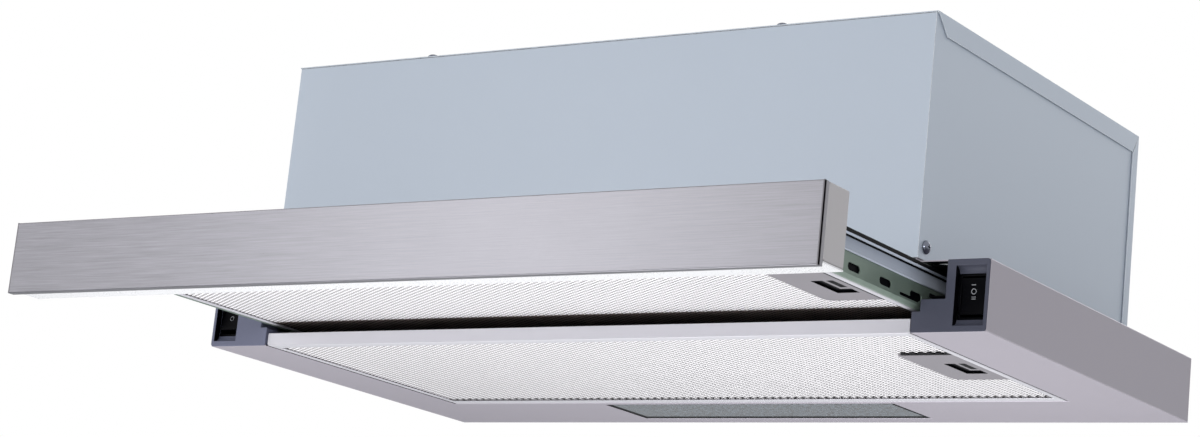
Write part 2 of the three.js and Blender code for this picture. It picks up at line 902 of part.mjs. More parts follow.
const lampY = (lensStart + lensEnd) / 2;
const lensLow = under + sheet + lensRim + fit;
const lampZ = floorTop + trayHeight / 2 + lensRim;

function lampLens() {
  const outline = roundedRectangle(
    [-lensHalf - lensOverlap, lensHalf + lensOverlap],
    [lensStart - lensOverlap + sheet, lensEnd + lensOverlap],
    2,
    3,
  );
  return prism("xy", outline, lensLow, lensLow + lensThickness);
}

function lampTray() {
  const y0 = lensStart - lensOverlap - trayWall + sheet - fit;
  const y1 = -skin - sheet - fit;
  return cut(
    box([-trayHalf, trayHalf], [y0, y1], [floorTop, floorTop + trayHeight]),
    box([trayWall - trayHalf, trayHalf - trayWall], [y0 + trayWall, y1 - trayWall], [
      floorTop - 1,
      floorTop + trayHeight - trayWall,
    ]),
  );
}

const holderOuter = trayHalf - trayWall - fit;

function lampHolder() {
  const inner = holderOuter - holderLength;
  const top = floorTop + trayHeight - trayWall - fit;
  return cut(
    join(
      box([holderOuter - 8, holderOuter], [lampY - holderWidth / 2, lampY + holderWidth / 2], [
        lampZ - socketRadius,
        top,
      ]),
      rod("x", socketRadius, inner, holderOuter - 1, 24, [0, lampY, lampZ]),
    ),
    rod("x", bulbCapRadius + fit, inner - 1, inner + bulbCapLength + fit, 24, [0, lampY, lampZ]),
  );
}

function lampBulb() {
  const base = holderOuter - holderLength + bulbCapLength;
  const neck = base - bulbCapLength - 2;
  const tip = neck - bulbLength;
  const profile = [
    [0, base],
    [bulbCapRadius, base],
    [bulbCapRadius, neck],
    [bulbRadius, neck - 8],
    [bulbRadius, tip + 10],
    ...arc([0, 0], 1, 30, 90, 3).map(([c, s]) => [bulbRadius * c, tip + 10 - 10 * s]),
  ];
  profile[profile.length - 1][0] = 0;
  return turned("x", profile, 24, [0, lampY, lampZ]);
}

// ---------------------------------------------------------------- blower

// The scroll in the yz plane: a growing spiral from the cut-off, then straight up to the outlet.
function scrollOutline(top) {
  const steps = 24;
  const points = [];
  for (let i = 0; i <= steps; i++) {
    const degrees = cutoffAngle + ((360 - cutoffAngle) * i) / steps;
    const radius = scrollInner + ((scrollOuter - scrollInner) * i) / steps;
    points.push(...arc([blowerAxisY, blowerAxisZ], radius, degrees, degrees, 1).slice(1));
  }
  const cutoff = points[0];
  return [...points, [blowerAxisY + scrollOuter, top], [cutoff[0], top]];
}

function blowerHalf() {
  const outer = scrollOutline(panelUnder);
  const hollow = inset(scrollOutline(panelUnder + 4 * scrollWall), scrollWall);
  const inlet = [inletRadius, inletRadius + 3 * scrollWall];
  const flare = ring("x", ...inlet, scrollHalf - 1, scrollHalf + inletFlare, 40, [
    0,
    blowerAxisY,
    blowerAxisZ,
  ]);
  const cutoffY = outer[0][0];
  const rim = box([fit / 2, scrollHalf + 4 * scrollWall], [
    cutoffY - 4 * scrollWall,
    blowerAxisY + scrollOuter + 4 * scrollWall,
  ], [panelUnder - scrollWall, panelUnder]);
  return cut(
    join(prism("yz", outer, fit / 2, scrollHalf), flare, rim),
    prism("yz", hollow, -1, scrollHalf - scrollWall),
    rod("x", inletRadius, scrollHalf - 2 * scrollWall, scrollHalf + inletFlare + 1, 40, [
      0,
      blowerAxisY,
      blowerAxisZ,
    ]),
  );
}

// One forward-curved blade, as its section in the yz plane.
function bladeOutline(turn) {
  const inner = impellerBore;
  const outer = impellerRadius - 0.4;
  const line = [0, 1, 2].map((i) => {
    const radius = inner + ((outer - inner) * i) / 2;
    const angle = turn + bladeSweep * (i / 2) ** 2;
    return arc([0, 0], radius, angle, angle, 1)[0];
  });
  return folded(line, bladeThickness);
}

function impeller() {
  const at = [0, 0, 0];
  const end = impellerHalf - ringThickness;
  const blades = Array.from({ length: bladeCount }, (_, i) =>
    prism("yz", bladeOutline((360 / bladeCount) * i), -end - 0.5, end + 0.5),
  );
  const wheel = join(
    ring("x", impellerBore, impellerRadius, end, impellerHalf, 40, at),
    ring("x", impellerBore, impellerRadius, -impellerHalf, -end, 40, at),
    rod("x", impellerBore + 1, -discThickness / 2, discThickness / 2, 40, at),
    rod("x", hubRadius, -hubHalf, hubHalf, 24, at),
    ...blades,
  );
  const bored = cut(wheel, rod("x", shaftRadius + fit, -hubHalf - 1, hubHalf + 1, 20, at));
  return moved(bored, new THREE.Matrix4().makeTranslation(0, blowerAxisY, blowerAxisZ));
}

const motorRear = motorFront + motorLength;
const blowerAt = [0, blowerAxisY, blowerAxisZ];

function motorShaft() {
  return rod("x", shaftRadius, -hubHalf - 2, motorFront + hubHalf, 20, blowerAt);
}

function fanMotor() {
  const shoulder = motorRadius * 0.7;
  const profile = [
    [0, motorFront],
    [shoulder, motorFront],
    [motorRadius, motorFront + 6],
    [motorRadius, motorRear - 8],
    [shoulder, motorRear - 3],
    [bracketHole - 2, motorRear - 3],
    [bracketHole - 2, motorRear + bracketSheet + 1],
    [0, motorRear + bracketSheet + 1],
  ];
  return cut(
    turned("x", profile, 36, blowerAt),
    rod("x", shaftRadius + fit, motorFront - 1, motorFront + hubHalf + fit, 20, blowerAt),
    ring("x", motorRadius - 1, motorRadius + 1, motorFront + 12, motorFront + 14, 36, blowerAt),
    ring("x", motorRadius - 1, motorRadius + 1, motorRear - 16, motorRear - 14, 36, blowerAt),
  );
}

// Three arms from the motor's rear boss to the inlet ring.
function motorBracket() {
  const x0 = motorRear + fit - 3;
  const x1 = x0 + bracketSheet;
  const reach = inletRadius + 5;
  const foot = scrollHalf + inletFlare + fit;
  const plate = ring("x", bracketHole, motorRadius * 0.7, x0, x1, 30, [0, 0, 0]);
  const arms = [90, 210, 330].map((degrees) => {
    const arm = join(
      box([x0, x1], [bracketHole + 2, inletRadius - 2], [-bracketArmWidth / 2, bracketArmWidth / 2]),
      box([x0, foot + bracketSheet], [inletRadius - 4, inletRadius - 2], [
        -bracketArmWidth / 2,
        bracketArmWidth / 2,
      ]),
      box([foot, foot + bracketSheet], [inletRadius - 4, reach], [
        -bracketArmWidth / 2,
        bracketArmWidth / 2,
      ]),
    );
    return moved(arm, new THREE.Matrix4().makeRotationX((degrees * Math.PI) / 180));
  });
  return moved(
    join(plate, ...arms),
    new THREE.Matrix4().makeTranslation(0, blowerAxisY, blowerAxisZ),
  );
}

// ---------------------------------------------------------------- duct collar and flaps

const collarBottom = caseTop + fit;
const flapLow = collarBottom + collarPlate + flapHeight;
const flapHinge = [barHalf + 2 * flapPin, flapLow + flapThickness / 2];

function ductCollar() {
  const inner = collarRadius - collarWall;
  const top = collarBottom + collarHeight;
  const profile = [
    [inner, collarBottom],
    [collarFlange, collarBottom],
    [collarFlange, collarBottom + collarPlate],
    [collarRadius, collarBottom + collarPlate],
    [collarRadius, top - 6],
    [collarRadius + 1, top - 5],
    [collarRadius, top - 4],
    [collarRadius, top],
    [inner, top],
    [inner, collarBottom],
  ];
  const bar = box([-barHalf, barHalf], [ductY - inner - 1, ductY + inner + 1], [
    flapLow + flapThickness / 2 - barHeight / 2,
    flapLow + flapThickness / 2 + barHeight / 2,
  ]);
  return join(turned("z", profile, 48, [0, ductY, 0]), bar);
}

// A half-moon flap with a pin at each end of its straight edge.
function damperFlap() {
  const near = barHalf + flapPin;
  const lean = (Math.acos(near / flapRadius) * 180) / Math.PI;
  const outline = arc([0, ductY], flapRadius, -lean, lean, 20);
  const reach = Math.sqrt((collarRadius - collarWall) ** 2 - flapHinge[0] ** 2) - 2 * fit;
  return join(
    prism("xy", outline, flapLow, flapLow + flapThickness),
    rod("y", flapPin, ductY - reach, ductY + reach, 10, [flapHinge[0], 0, flapHinge[1]]),
  );
}

// ---------------------------------------------------------------- electrical pieces

function runCapacitor() {
  const z = panelUnder - capacitorRadius - 3;
  const y = blowerAxisY;
  const half = capacitorLength / 2;
  return join(
    rod("y", capacitorRadius, y - half, y + half, 28, [capacitorX, 0, z]),
    rod("y", 4, y + half - 1, y + half + 5, 12, [capacitorX, 0, z]),
    box([capacitorX - 5, capacitorX + 5], [y - 6, y + 6], [z, panelUnder]),
  );
}

function terminalBox() {
  const [w, d, h] = terminalBoxSize;
  const [x, y] = terminalBoxAt;
  const outline = roundedRectangle([x - w / 2, x + w / 2], [y - d / 2, y + d / 2], 4, 3);
  const lid = roundedRectangle([x - w / 2 - 1, x + w / 2 + 1], [y - d / 2 - 1, y + d / 2 + 1], 4, 3);
  return cut(
    join(
      prism("xy", outline, panelUnder - h, panelUnder),
      prism("xy", lid, panelUnder - h, panelUnder - h + 6),
    ),
    rod("z", grommetRadius + fit, panelUnder - 8, panelUnder + 1, 24, [x, y, 0]),
  );
}

function cableGrommet() {
  const waist = grommetRadius - 2;
  const profile = [
    [grommetBore, panelUnder - 4],
    [grommetRadius - 1, panelUnder - 4],
    [grommetRadius - 1, panelUnder],
    [waist, panelUnder],
    [waist, caseTop + fit],
    [grommetRadius, caseTop + fit],
    [grommetRadius - 1, caseTop + 4],
    [grommetBore, caseTop + 4],
    [grommetBore, panelUnder - 4],
  ];
  return turned("z", profile, 24, [...terminalBoxAt, 0]);
}

const armRearClosed = drawerFront + armLength + drawerTravel;
const microX = -armOuter + sheet / 2;
const microFront = armRearClosed + 3 * leverThickness + 1;
const leverHinge = [microFront - leverThickness / 2 - fit, drawerFloor + armHeight / 4];

function microswitch() {
  const [w, , h] = microSize;
  const rear = -skin - sheet - fit;
  const z = leverHinge[1];
  return cut(
    box([microX - w / 2, microX + w / 2], [microFront, rear], [z - 2, z + h]),
    rod("x", 0.8, -w, w, 10, [microX, microFront + 3, z + 2]),
    rod("x", 0.8, -w, w, 10, [microX, microFront + 3, z + h - 2]),
  );
}

// Drawn upright about its own hinge.
function microswitchLever() {
  const half = microSize[0] / 2 - 1;
  const thin = leverThickness / 2;
  return box([-half, half], [-thin, thin], [-2 * thin, leverLength]);
}

// ---------------------------------------------------------------- screws

// A pan head screw pointing along +h, with the underside of its head at h = 0.
function screwProfile(length) {
  const dome = [80, 55, 30, 0].map((degrees) => {
    const [c, s] = arc([0, 0], 1, degrees, degrees, 1)[0];
    return [screwHead * c, -screwHeadHeight * s];
  });
  return [
    [0, -screwHeadHeight],
    ...dome,
    [screwHead, 0],
    [screwShank, 0],
    [screwShank, length],
    [0, length],
  ].filter(([r, h], i, all) => !i || r !== all[i - 1][0] || h !== all[i - 1][1]);
}

function caseSideScrew() {
  const profile = screwProfile(6).map(([r, h]) => [r, -h]);
  return turned("x", profile, 16, [caseHalf + fit, ...sideScrewAt]);
}

function caseTopScrew() {
  const profile = screwProfile(6).map(([r, h]) => [r, -h]);
  return turned("z", profile, 16, [...topScrewAt, caseTop + fit]);
}

// ---------------------------------------------------------------- the assembly

const finish = (color, roughness, metalness) =>
  new THREE.MeshStandardMaterial({ color, roughness, metalness });
const caseSteel = () => finish(0xbac6d0, 0.45, 0.3);
const baseSteel = () => finish(0xa8a3ad, 0.4, 0.6);
const brushedSteel = () => finish(0xaaa8ac, 0.35, 1);
const galvanised = () => finish(0x8b9a94, 0.5, 0.8);
const brightSteel = () => finish(0xb4b8c0, 0.35, 0.9);
const aluminium = () => finish(0xdedce0, 0.4, 0.9);
const whiteSteel = () => finish(0xf2f2f2, 0.5, 0.1);
const greyPlastic = () => finish(0x737686, 0.55, 0);
const beigePlastic = () => finish(0x9b9996, 0.5, 0.2);
const latchPlastic = () => finish(0x9b9da0, 0.5, 0);
const blackPlastic = () => finish(0x15151a, 0.4, 0);
const darkPlastic = () => finish(0x34363a, 0.55, 0);
const lensGlass = () => finish(0x788a8c, 0.3, 0);
const bulbGlass = () => finish(0xf4f0e4, 0.2, 0);
const chrome = () => finish(0xd0d2d6, 0.15, 1);

const hood = new THREE.Group();

function add(name, solid, material) {
  const mesh = new THREE.Mesh(geometryOf(solid), material());
  mesh.name = name;
  hood.add(mesh);
  return mesh;
}

// A right-hand piece and its mirror image.
function addPair(name, solid, material) {
  add(`${name}_right`, solid, material);
  add(`${name}_left`, mirrored(solid), material);
}

add("case_front_sides", caseFrontSides(), caseSteel);
add("case_top_back", caseTopBack(), caseSteel);
add("base_frame", baseFrame(), baseSteel);
addPair("end_cap", endCap(), greyPlastic);
addPair("rail_bracket", railBracket(), galvanised);
addPair("fixed_rail", fixedRail(), brightSteel);
addPair("ball_cage", ballCage(), brightSteel);

const rockerMaterial = blackPlastic;
for (const [side, name] of [[1, "motor"], [-1, "light"]]) {
  const housing = add(`${name}_switch_housing`, switchHousing(), darkPlastic);
  housing.position.set(side * switchX, 0, switchZ);
  const key = add(`${name}_rocker`, rocker(), rockerMaterial);
  key.position.set(side * switchX, front + rockerPivotDepth, switchZ);
}
hood.getObjectByName("light_rocker").rotation.x = (-rockerSwing * Math.PI) / 180;

add("lamp_tray", lampTray(), whiteSteel);
add("lamp_lens", lampLens(), lensGlass);
addPair("lamp_holder", lampHolder(), darkPlastic);
addPair("lamp_bulb", lampBulb(), bulbGlass);

addPair("blower_housing", blowerHalf(), darkPlastic);
add("impeller", impeller(), greyPlastic);
add("motor_shaft", motorShaft(), brightSteel);
add("fan_motor", fanMotor(), brightSteel);
add("motor_bracket", motorBracket(), galvanised);
add("duct_collar", ductCollar(), darkPlastic);
addPair("damper_flap", damperFlap(), blackPlastic);

add("run_capacitor", runCapacitor(), aluminium);
add("terminal_box", terminalBox(), darkPlastic);
add("cable_grommet", cableGrommet(), blackPlastic);
add("drawer_microswitch", microswitch(), blackPlastic);
const lever = add("microswitch_lever", microswitchLever(), brightSteel);
lever.position.set(microX, ...leverHinge);
lever.rotation.x = (leverLean * Math.PI) / 180;
addPair("case_side_screw", caseSideScrew(), chrome);
addPair("case_top_screw", caseTopScrew(), chrome);

add("fascia_panel", fasciaPanel(), brushedSteel);
add("fascia_body", fasciaBody(), whiteSteel);
addPair("fascia_cheek", fasciaCheek(), beigePlastic);
addPair("drawer_arm", drawerArm(), galvanised);
addPair("drawer_rail", drawerRail(), brightSteel);
add("drawer_cross_bar", crossBar(), galvanised);

for (const [name, y, z] of [
  ["front", drawerFilterFront, drawerFloor],
  ["rear", rearFilterFront, under],
]) {
  add(`${name}_filter_frame`, filterFrame(y, z), aluminium);
  add(`${name}_filter_mesh`, filterMesh(y, z), aluminium);
  add(`${name}_latch_plate`, latchPlate(y, z), latchPlastic);
  add(`${name}_latch_slider`, latchSlider(y, z), latchPlastic);
}

export default hood;
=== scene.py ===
# Dresses a slide-out cooker hood: painted and brushed sheet, mesh filters, slides, switches and blower.
# Metres. The hood's own frame: +X to the right, +Y to the wall, +Z up, the cabinet's shoulder at z = 0.
import json
import math

import bmesh
import bpy
from bpy.props import FloatProperty, FloatVectorProperty, PointerProperty
from mathutils import Matrix, Vector


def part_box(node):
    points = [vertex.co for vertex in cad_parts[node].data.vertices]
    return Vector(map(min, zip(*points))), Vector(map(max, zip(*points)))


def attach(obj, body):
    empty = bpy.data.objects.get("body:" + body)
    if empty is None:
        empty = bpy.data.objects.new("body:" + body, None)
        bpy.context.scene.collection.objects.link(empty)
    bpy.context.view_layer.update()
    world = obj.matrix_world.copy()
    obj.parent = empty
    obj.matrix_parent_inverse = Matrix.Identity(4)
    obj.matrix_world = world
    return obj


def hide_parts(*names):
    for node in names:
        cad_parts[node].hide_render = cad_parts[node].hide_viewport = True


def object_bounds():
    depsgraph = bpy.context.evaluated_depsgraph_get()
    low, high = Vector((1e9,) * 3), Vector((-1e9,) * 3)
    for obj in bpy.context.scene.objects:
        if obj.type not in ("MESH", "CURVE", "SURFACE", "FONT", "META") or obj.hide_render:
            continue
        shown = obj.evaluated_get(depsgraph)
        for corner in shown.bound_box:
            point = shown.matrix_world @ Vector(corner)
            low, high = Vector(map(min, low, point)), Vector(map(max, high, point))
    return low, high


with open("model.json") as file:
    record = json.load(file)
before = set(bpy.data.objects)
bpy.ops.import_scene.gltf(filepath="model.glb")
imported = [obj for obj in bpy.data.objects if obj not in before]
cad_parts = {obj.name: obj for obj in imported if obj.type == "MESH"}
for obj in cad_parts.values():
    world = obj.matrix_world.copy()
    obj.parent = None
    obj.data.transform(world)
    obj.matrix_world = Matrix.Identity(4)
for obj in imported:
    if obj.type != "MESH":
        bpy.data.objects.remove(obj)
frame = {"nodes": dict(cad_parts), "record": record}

bl_info = {
    "name": "Slide-out hood dresser",
    "version": (1, 0, 0),
    "blender": (4, 5, 0),
    "location": "3D View > Sidebar > Hood",
    "description": "Builds the visible pieces of a slide-out cooker hood around its packed frame",
    "category": "Object",
}

MM = 0.001
WAY = {"right": 1, "left": -1}  # each side's direction along X
BOUNDS_AT_LOAD = [list(corner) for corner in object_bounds()]
BODY_OF = {
    node: body for body, nodes in frame["record"]["behaviour"]["bodies"].items() for node in nodes
}


def linear(red, green, blue):
    """A colour picked from 0 to 255, as the linear values that shaders use."""
    return tuple(
        ((c / 255 + 0.055) / 1.055) ** 2.4 if c > 10 else c / 255 / 12.92 for c in (red, green, blue)
    )


def colour(name, description, red, green, blue):
    return FloatVectorProperty(
        name=name,
        description=description,
        subtype="COLOR",
        size=3,
        min=0.0,
        max=1.0,
        default=linear(red, green, blue),
    )


def length(name, description, millimetres):
    return FloatProperty(
        name=name, description=description, unit="LENGTH", min=0.0, default=millimetres * MM
    )


def strength(name, description, default):
    return FloatProperty(name=name, description=description, min=0.0, default=default)


class HoodFinishes(bpy.types.PropertyGroup):
    """Colours of the hood's finishes."""

    case: colour("Case paint", "Silver-grey paint on the case", 178, 187, 199)
    # Fold: the near-white edge along folds, partly worn paint and partly painted highlight.
    fold: colour("Case folds", "Bare bright paint edge where the case is folded", 236, 239, 241)
    lacquer: colour("Base lacquer", "Metallic lacquer on the base frame", 152, 147, 156)
    steel: colour("Brushed steel", "Brushed steel of the drawer's front", 139, 138, 144)
    zinc: colour("Zinc", "Galvanised steel of the arms and brackets", 124, 139, 129)
    slide: colour("Slide steel", "Drawn steel of the telescopic slides", 176, 183, 196)
    filter_frame: colour("Filter frame", "Anodised aluminium of the filter frames", 190, 189, 195)
    filter_mesh: colour("Filter mesh", "Expanded aluminium", 252, 250, 252)
    white: colour("White paint", "White section behind the drawer's front", 218, 218, 220)
    cap: colour("Cap plastic", "Blue-grey moulding of the end caps", 67, 69, 83)
    cheek: colour("Cheek plastic", "Beige-grey moulding at the ends of the front", 172, 169, 171)
    latch: colour("Latch plastic", "Grey moulding of the filter latches", 116, 113, 118)
    # Black: also the painted shade in slots, gaps and the base's inside.
    black: colour("Black plastic", "Switches, housings and flaps", 3, 3, 6)
    shadow: colour("Dark plastic", "Blower housing and collar", 44, 46, 50)
    mark: colour("Switch marks", "White marks on the switches", 214, 216, 222)
    lens: colour("Lens glass", "Patterned glass over the lamps", 92, 100, 108)
    bulb: colour("Lamp glass", "Pearl glass of the lamps", 240, 234, 214)
    chrome: colour("Screw plating", "Bright plating of the screws", 112, 116, 128)
    motor: colour("Motor steel", "Plain steel of the fan motor", 150, 154, 160)


class HoodSizes(bpy.types.PropertyGroup):
    """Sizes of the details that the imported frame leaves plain."""

    fold: length("Fold radius", "Rounding where sheet is folded", 0.8)
    shear: length("Cut edge", "Rounding where sheet is cut", 0.12)
    moulded: length("Moulded edge", "Rounding on plastic mouldings", 0.5)
    long_way: length("Mesh long way", "Width of a diamond in the filter mesh", 6.05)
    short_way: length("Mesh short way", "Depth of a diamond in the filter mesh", 3.8)
    twist: length("Mesh twist", "How far a strand leans out of the sheet", 0.16)
    strand: FloatProperty(
        name="Mesh strand",
        description="Strand width as a share of the diamond",
        subtype="FACTOR",
        min=0.1,
        max=0.9,
        default=0.56,
    )
    screw_head: length("Screw head", "Radius of a screw's head", 4.2)
    mark_line: length("Mark line", "Stroke width of the switch marks", 0.36)


class HoodStage(bpy.types.PropertyGroup):
    """Light and floor."""

    floor_drop: FloatProperty(
        name="Floor drop", description="Floor below the hood", unit="LENGTH", default=0.62
    )
    sky: strength("Sky", "Strength of the even light", 0.42)
    front: strength("Front", "Watts of the light from the front", 16.8)
    strip: strength("Strip", "Watts of the narrow light on the front", 6.0)
    below: strength("Below", "Watts of the light from below", 6.7)
    left: strength("Left", "Watts of the light from the left", 5.0)
    rear: strength("Rear", "Watts of the light from behind", 12.0)


def finishes():
    return bpy.context.scene.hood_finishes


def sizes():
    return bpy.context.scene.hood_sizes


# ---- nodes

def step(tree, kind, values=None, links=None, **settings):
    """A node in a tree, with its settings, socket values and links."""
    node = tree.nodes.new(kind)
    for label, value in settings.items():
        setattr(node, label, value)
    for label, value in (values or {}).items():
        node.inputs[label].default_value = value
    for label, socket in (links or {}).items():
        tree.links.new(socket, node.inputs[label])
    return node


def take(tree, kind, values=None, links=None, **settings):
    """What comes first out of a new node."""
    return step(tree, kind, values, links, **settings).outputs[0]


def joined(tree, operation, first, second, clamped=False):
    """A socket reckoned with a number or with another socket."""
    if isinstance(second, bpy.types.NodeSocket):
        values, links = {}, {0: first, 1: second}
    else:
        values, links = {1: second}, {0: first}
    return take(tree, "ShaderNodeMath", values, links, operation=operation, use_clamp=clamped)


# ---- shader effects

EFFECT_INPUTS = {"Vector": "Vector", "Scale": "Float", "Contrast": "Float"}
EFFECT_OUTPUTS = {"Mask": "Float", "Height": "Float"}


def effect_group(name, build):
    """A shader node group with Vector, Scale and Contrast in, and a Mask and a Height out."""
    if name in bpy.data.node_groups:
        return bpy.data.node_groups[name]
    group = bpy.data.node_groups.new(name, "ShaderNodeTree")
    for way, sockets in (("INPUT", EFFECT_INPUTS), ("OUTPUT", EFFECT_OUTPUTS)):
        for label, kind in sockets.items():
            group.interface.new_socket(name=label, in_out=way, socket_type=f"NodeSocket{kind}")
    given = group.nodes.new("NodeGroupInput").outputs
    out = group.nodes.new("NodeGroupOutput").inputs
    value, height = build(group, given["Vector"], given["Scale"])
    group.links.new(spread(group, value, given["Contrast"]), out["Mask"])
    group.links.new(height, out["Height"])
    return group


def spread(group, value, contrast):
    """Pushes a value away from its middle by the contrast."""
    centred = joined(group, "SUBTRACT", value, 0.5)
    scaled = joined(group, "MULTIPLY", centred, contrast)
    return joined(group, "ADD", scaled, 0.5, clamped=True)


def average(group, first, second):
    return joined(group, "MULTIPLY", joined(group, "ADD", first, second), 0.5)


def noise(group, vector, scale, detail, roughness, ratio=1.0):
    """Cloudy noise. Its scale is the effect's times the ratio."""
    values = {"Detail": detail, "Roughness": roughness}
    links = {"Vector": vector, "Scale": joined(group, "MULTIPLY", scale, ratio)}
    return step(group, "ShaderNodeTexNoise", values, links).outputs["Fac"]


def pebbles(group, vector, scale):
    """How far a point is from the middle of its soft, round cell."""
    links = {"Vector": vector, "Scale": scale}
    node = step(group, "ShaderNodeTexVoronoi", {}, links, feature="SMOOTH_F1")
    return node.outputs["Distance"]


def stretched(group, vector, shares):
    return take(group, "ShaderNodeMapping", {"Scale": shares}, {"Vector": vector})


def build_grain(group, vector, scale):
    """Fine leather-like grain of moulded plastic and textured paint."""
    fine = noise(group, vector, scale, detail=2.0, roughness=0.5)
    cells = pebbles(group, vector, joined(group, "MULTIPLY", scale, 0.8))
    return fine, joined(group, "ADD", fine, cells)


def build_patina(group, vector, scale):
    """Broad, soft change of tone, as handling and uneven rolling leave."""
    broad = noise(group, vector, scale, detail=3.0, roughness=0.6)
    small = noise(group, vector, scale, detail=4.0, roughness=0.65, ratio=9.0)
    both = average(group, broad, small)
    return both, both


def build_brushing(group, vector, scale):
    """Long fine lines along X from a brushing belt."""
    lines = stretched(group, vector, (0.018, 1.0, 1.0))
    fine = noise(group, lines, scale, detail=4.0, roughness=0.75)
    wide = noise(group, lines, scale, detail=2.0, roughness=0.5, ratio=0.4)
    return average(group, fine, wide), fine


def build_drawn(group, vector, scale):
    """Lines along Y that drawing and rolling leave on slides and folded strips."""
    lines = stretched(group, vector, (1.0, 0.012, 1.0))
    fine = noise(group, lines, scale, detail=4.0, roughness=0.7)
    return fine, fine


def build_spangle(group, vector, scale):
    """Zinc crystals."""
    crystals = step(group, "ShaderNodeTexVoronoi", {}, {"Vector": vector, "Scale": scale})
    tones = take(group, "ShaderNodeSeparateColor", {}, {"Color": crystals.outputs["Color"]})
    fine = noise(group, vector, scale, detail=3.0, roughness=0.6, ratio=2.5)
    return average(group, tones, fine), fine


def build_speckle(group, vector, scale):
    """Small pebbles pressed into glass."""
    cells = pebbles(group, vector, scale)
    fine = noise(group, vector, scale, detail=2.0, roughness=0.7, ratio=0.8)
    both = joined(group, "MULTIPLY", fine, cells)
    return joined(group, "MULTIPLY", both, 2.4), cells


EFFECTS = {
    "grain": build_grain,
    "patina": build_patina,
    "brushing": build_brushing,
    "drawn": build_drawn,
    "spangle": build_spangle,
    "speckle": build_speckle,
}


def layer(effect, scale, contrast, tone=0.0, gloss=0.0, relief=0.0):
    """An effect in a finish: its shares of tone and gloss, from 0 to 1, and its height in mm."""
    return effect, scale, contrast, tone, gloss, relief


def finish(name, tint, layers, roughness, metallic=0.0, darker=0.8, **sockets):
    """A material whose tone, gloss and surface change by layers.

    Where a layer is at its darkest, it multiplies the tone by darker.
    """
    label = f"{name}_finish"
    if label in bpy.data.materials:
        return bpy.data.materials[label]
    material = bpy.data.materials.new(label)
    material.use_nodes = True
    tree = material.node_tree
    shader = tree.nodes["Principled BSDF"]
    values = {"Base Color": (*tint, 1.0), "Roughness": roughness, "Metallic": metallic, **sockets}
    for socket, value in values.items():
        shader.inputs[socket.replace("_", " ")].default_value = value
    place = tree.nodes.new("ShaderNodeTexCoord").outputs["Object"]
    changes = {}
    for effect, scale, contrast, tone, gloss, relief in layers:
        node = tree.nodes.new("ShaderNodeGroup")
        node.node_tree = effect_group(effect, EFFECTS[effect])
        tree.links.new(place, node.inputs["Vector"])
        node.inputs["Scale"].default_value = scale
        node.inputs["Contrast"].default_value = contrast
        mask = node.outputs["Mask"]
        if tone:
            before = changes.get("Base Color")
            changes["Base Color"] = mixed_tone(tree, before, mask, tint, tone, darker)
        if gloss:
            changes["Roughness"] = shifted(tree, changes.get("Roughness"), mask, roughness, gloss)
        if relief:
            height = node.outputs["Height"]
            changes["Normal"] = bumped(tree, changes.get("Normal"), height, relief)
    for socket, value in changes.items():
        tree.links.new(value, shader.inputs[socket])
    return material


def mixed_tone(tree, before, mask, tint, share, darker):
    """Darkens the colour by the mask."""
    limits = {"To Min": share, "To Max": 0.0}
    factor = step(tree, "ShaderNodeMapRange", limits, {"Value": mask}).outputs["Result"]
    if before is None:
        blend = "MIX"
        values = {"A": (*tint, 1.0), "B": (*(c * darker for c in tint), 1.0)}
        links = {"Factor": factor}
    else:
        blend = "MULTIPLY"
        values = {"B": (darker, darker, darker, 1.0)}
        links = {"Factor": factor, "A": before}
    mix = step(tree, "ShaderNodeMix", values, links, data_type="RGBA", blend_type=blend)
    return mix.outputs["Result"]


def shifted(tree, before, mask, roughness, share):
    """Moves the roughness up and down by the mask."""
    base = roughness if before is None else 0.0
    limits = {"To Min": base - share / 2, "To Max": base + share / 2}
    reach = step(tree, "ShaderNodeMapRange", limits, {"Value": mask}).outputs["Result"]
    if before is None:
        return reach
    return joined(tree, "ADD", before, reach, clamped=True)


def bumped(tree, before, height, millimetres):
    """Raises the surface by the height, on top of any bump before it."""
    links = {"Height": height}
    if before is not None:
        links["Normal"] = before
    return take(tree, "ShaderNodeBump", {"Strength": 1.0, "Distance": millimetres * MM}, links)


# ---- materials

CAP_PAINTED_LIGHT = {"right": 1.0, "left": 2.5}  # the left end cap's colour painted paler, as painted light where it stands in more light
FOLD_HIGHLIGHT = 1.4  # how much paler the base's folds are than its faces, as painted highlight


def case_paint():
    grain = layer("grain", 900, 1.6, tone=0.12, gloss=0.06, relief=0.01)
    patina = layer("patina", 4, 1.4, tone=0.22, gloss=0.06)
    return finish(
        "case_paint", finishes().case, (grain, patina), roughness=0.42, metallic=0.25, darker=0.86
    )


def case_fold():
    """Bright edge along the folds, partly worn bare paint and partly painted highlight, with dull
    flecks where the paint holds.
    """
    flecks = layer("patina", 150, 6.0, tone=0.8, gloss=0.1, relief=0.006)
    return finish("case_fold", finishes().fold, (flecks,), roughness=0.36, darker=0.55)


def base_lacquer():
    grain = layer("grain", 1500, 1.8, tone=0.16, gloss=0.06, relief=0.006)
    patina = layer("patina", 5, 1.3, tone=0.18, gloss=0.05)
    return finish(
        "base_lacquer", finishes().lacquer, (grain, patina), roughness=0.46, metallic=0.2, darker=0.84
    )


# Paler lacquer on the base's folds: painted highlight, with random dull flecks.
def base_fold():
    tint = tuple(min(1.0, c * FOLD_HIGHLIGHT) for c in finishes().lacquer)
    flecks = layer("patina", 120, 4.0, tone=0.4, gloss=0.1, relief=0.004)
    return finish("base_fold", tint, (flecks,), roughness=0.38, metallic=0.3, darker=0.7)


def brushed_steel():
    brushing = layer("brushing", 2800, 3.0, tone=0.8, gloss=0.08, relief=0.0014)
    patina = layer("patina", 3.2, 1.4, tone=0.1, gloss=0.04)
    return finish(
        "brushed_steel",
        finishes().steel,
        (brushing, patina),
        roughness=0.32,
        metallic=0.9,
        darker=0.66,
        Anisotropic=0.4,
    )


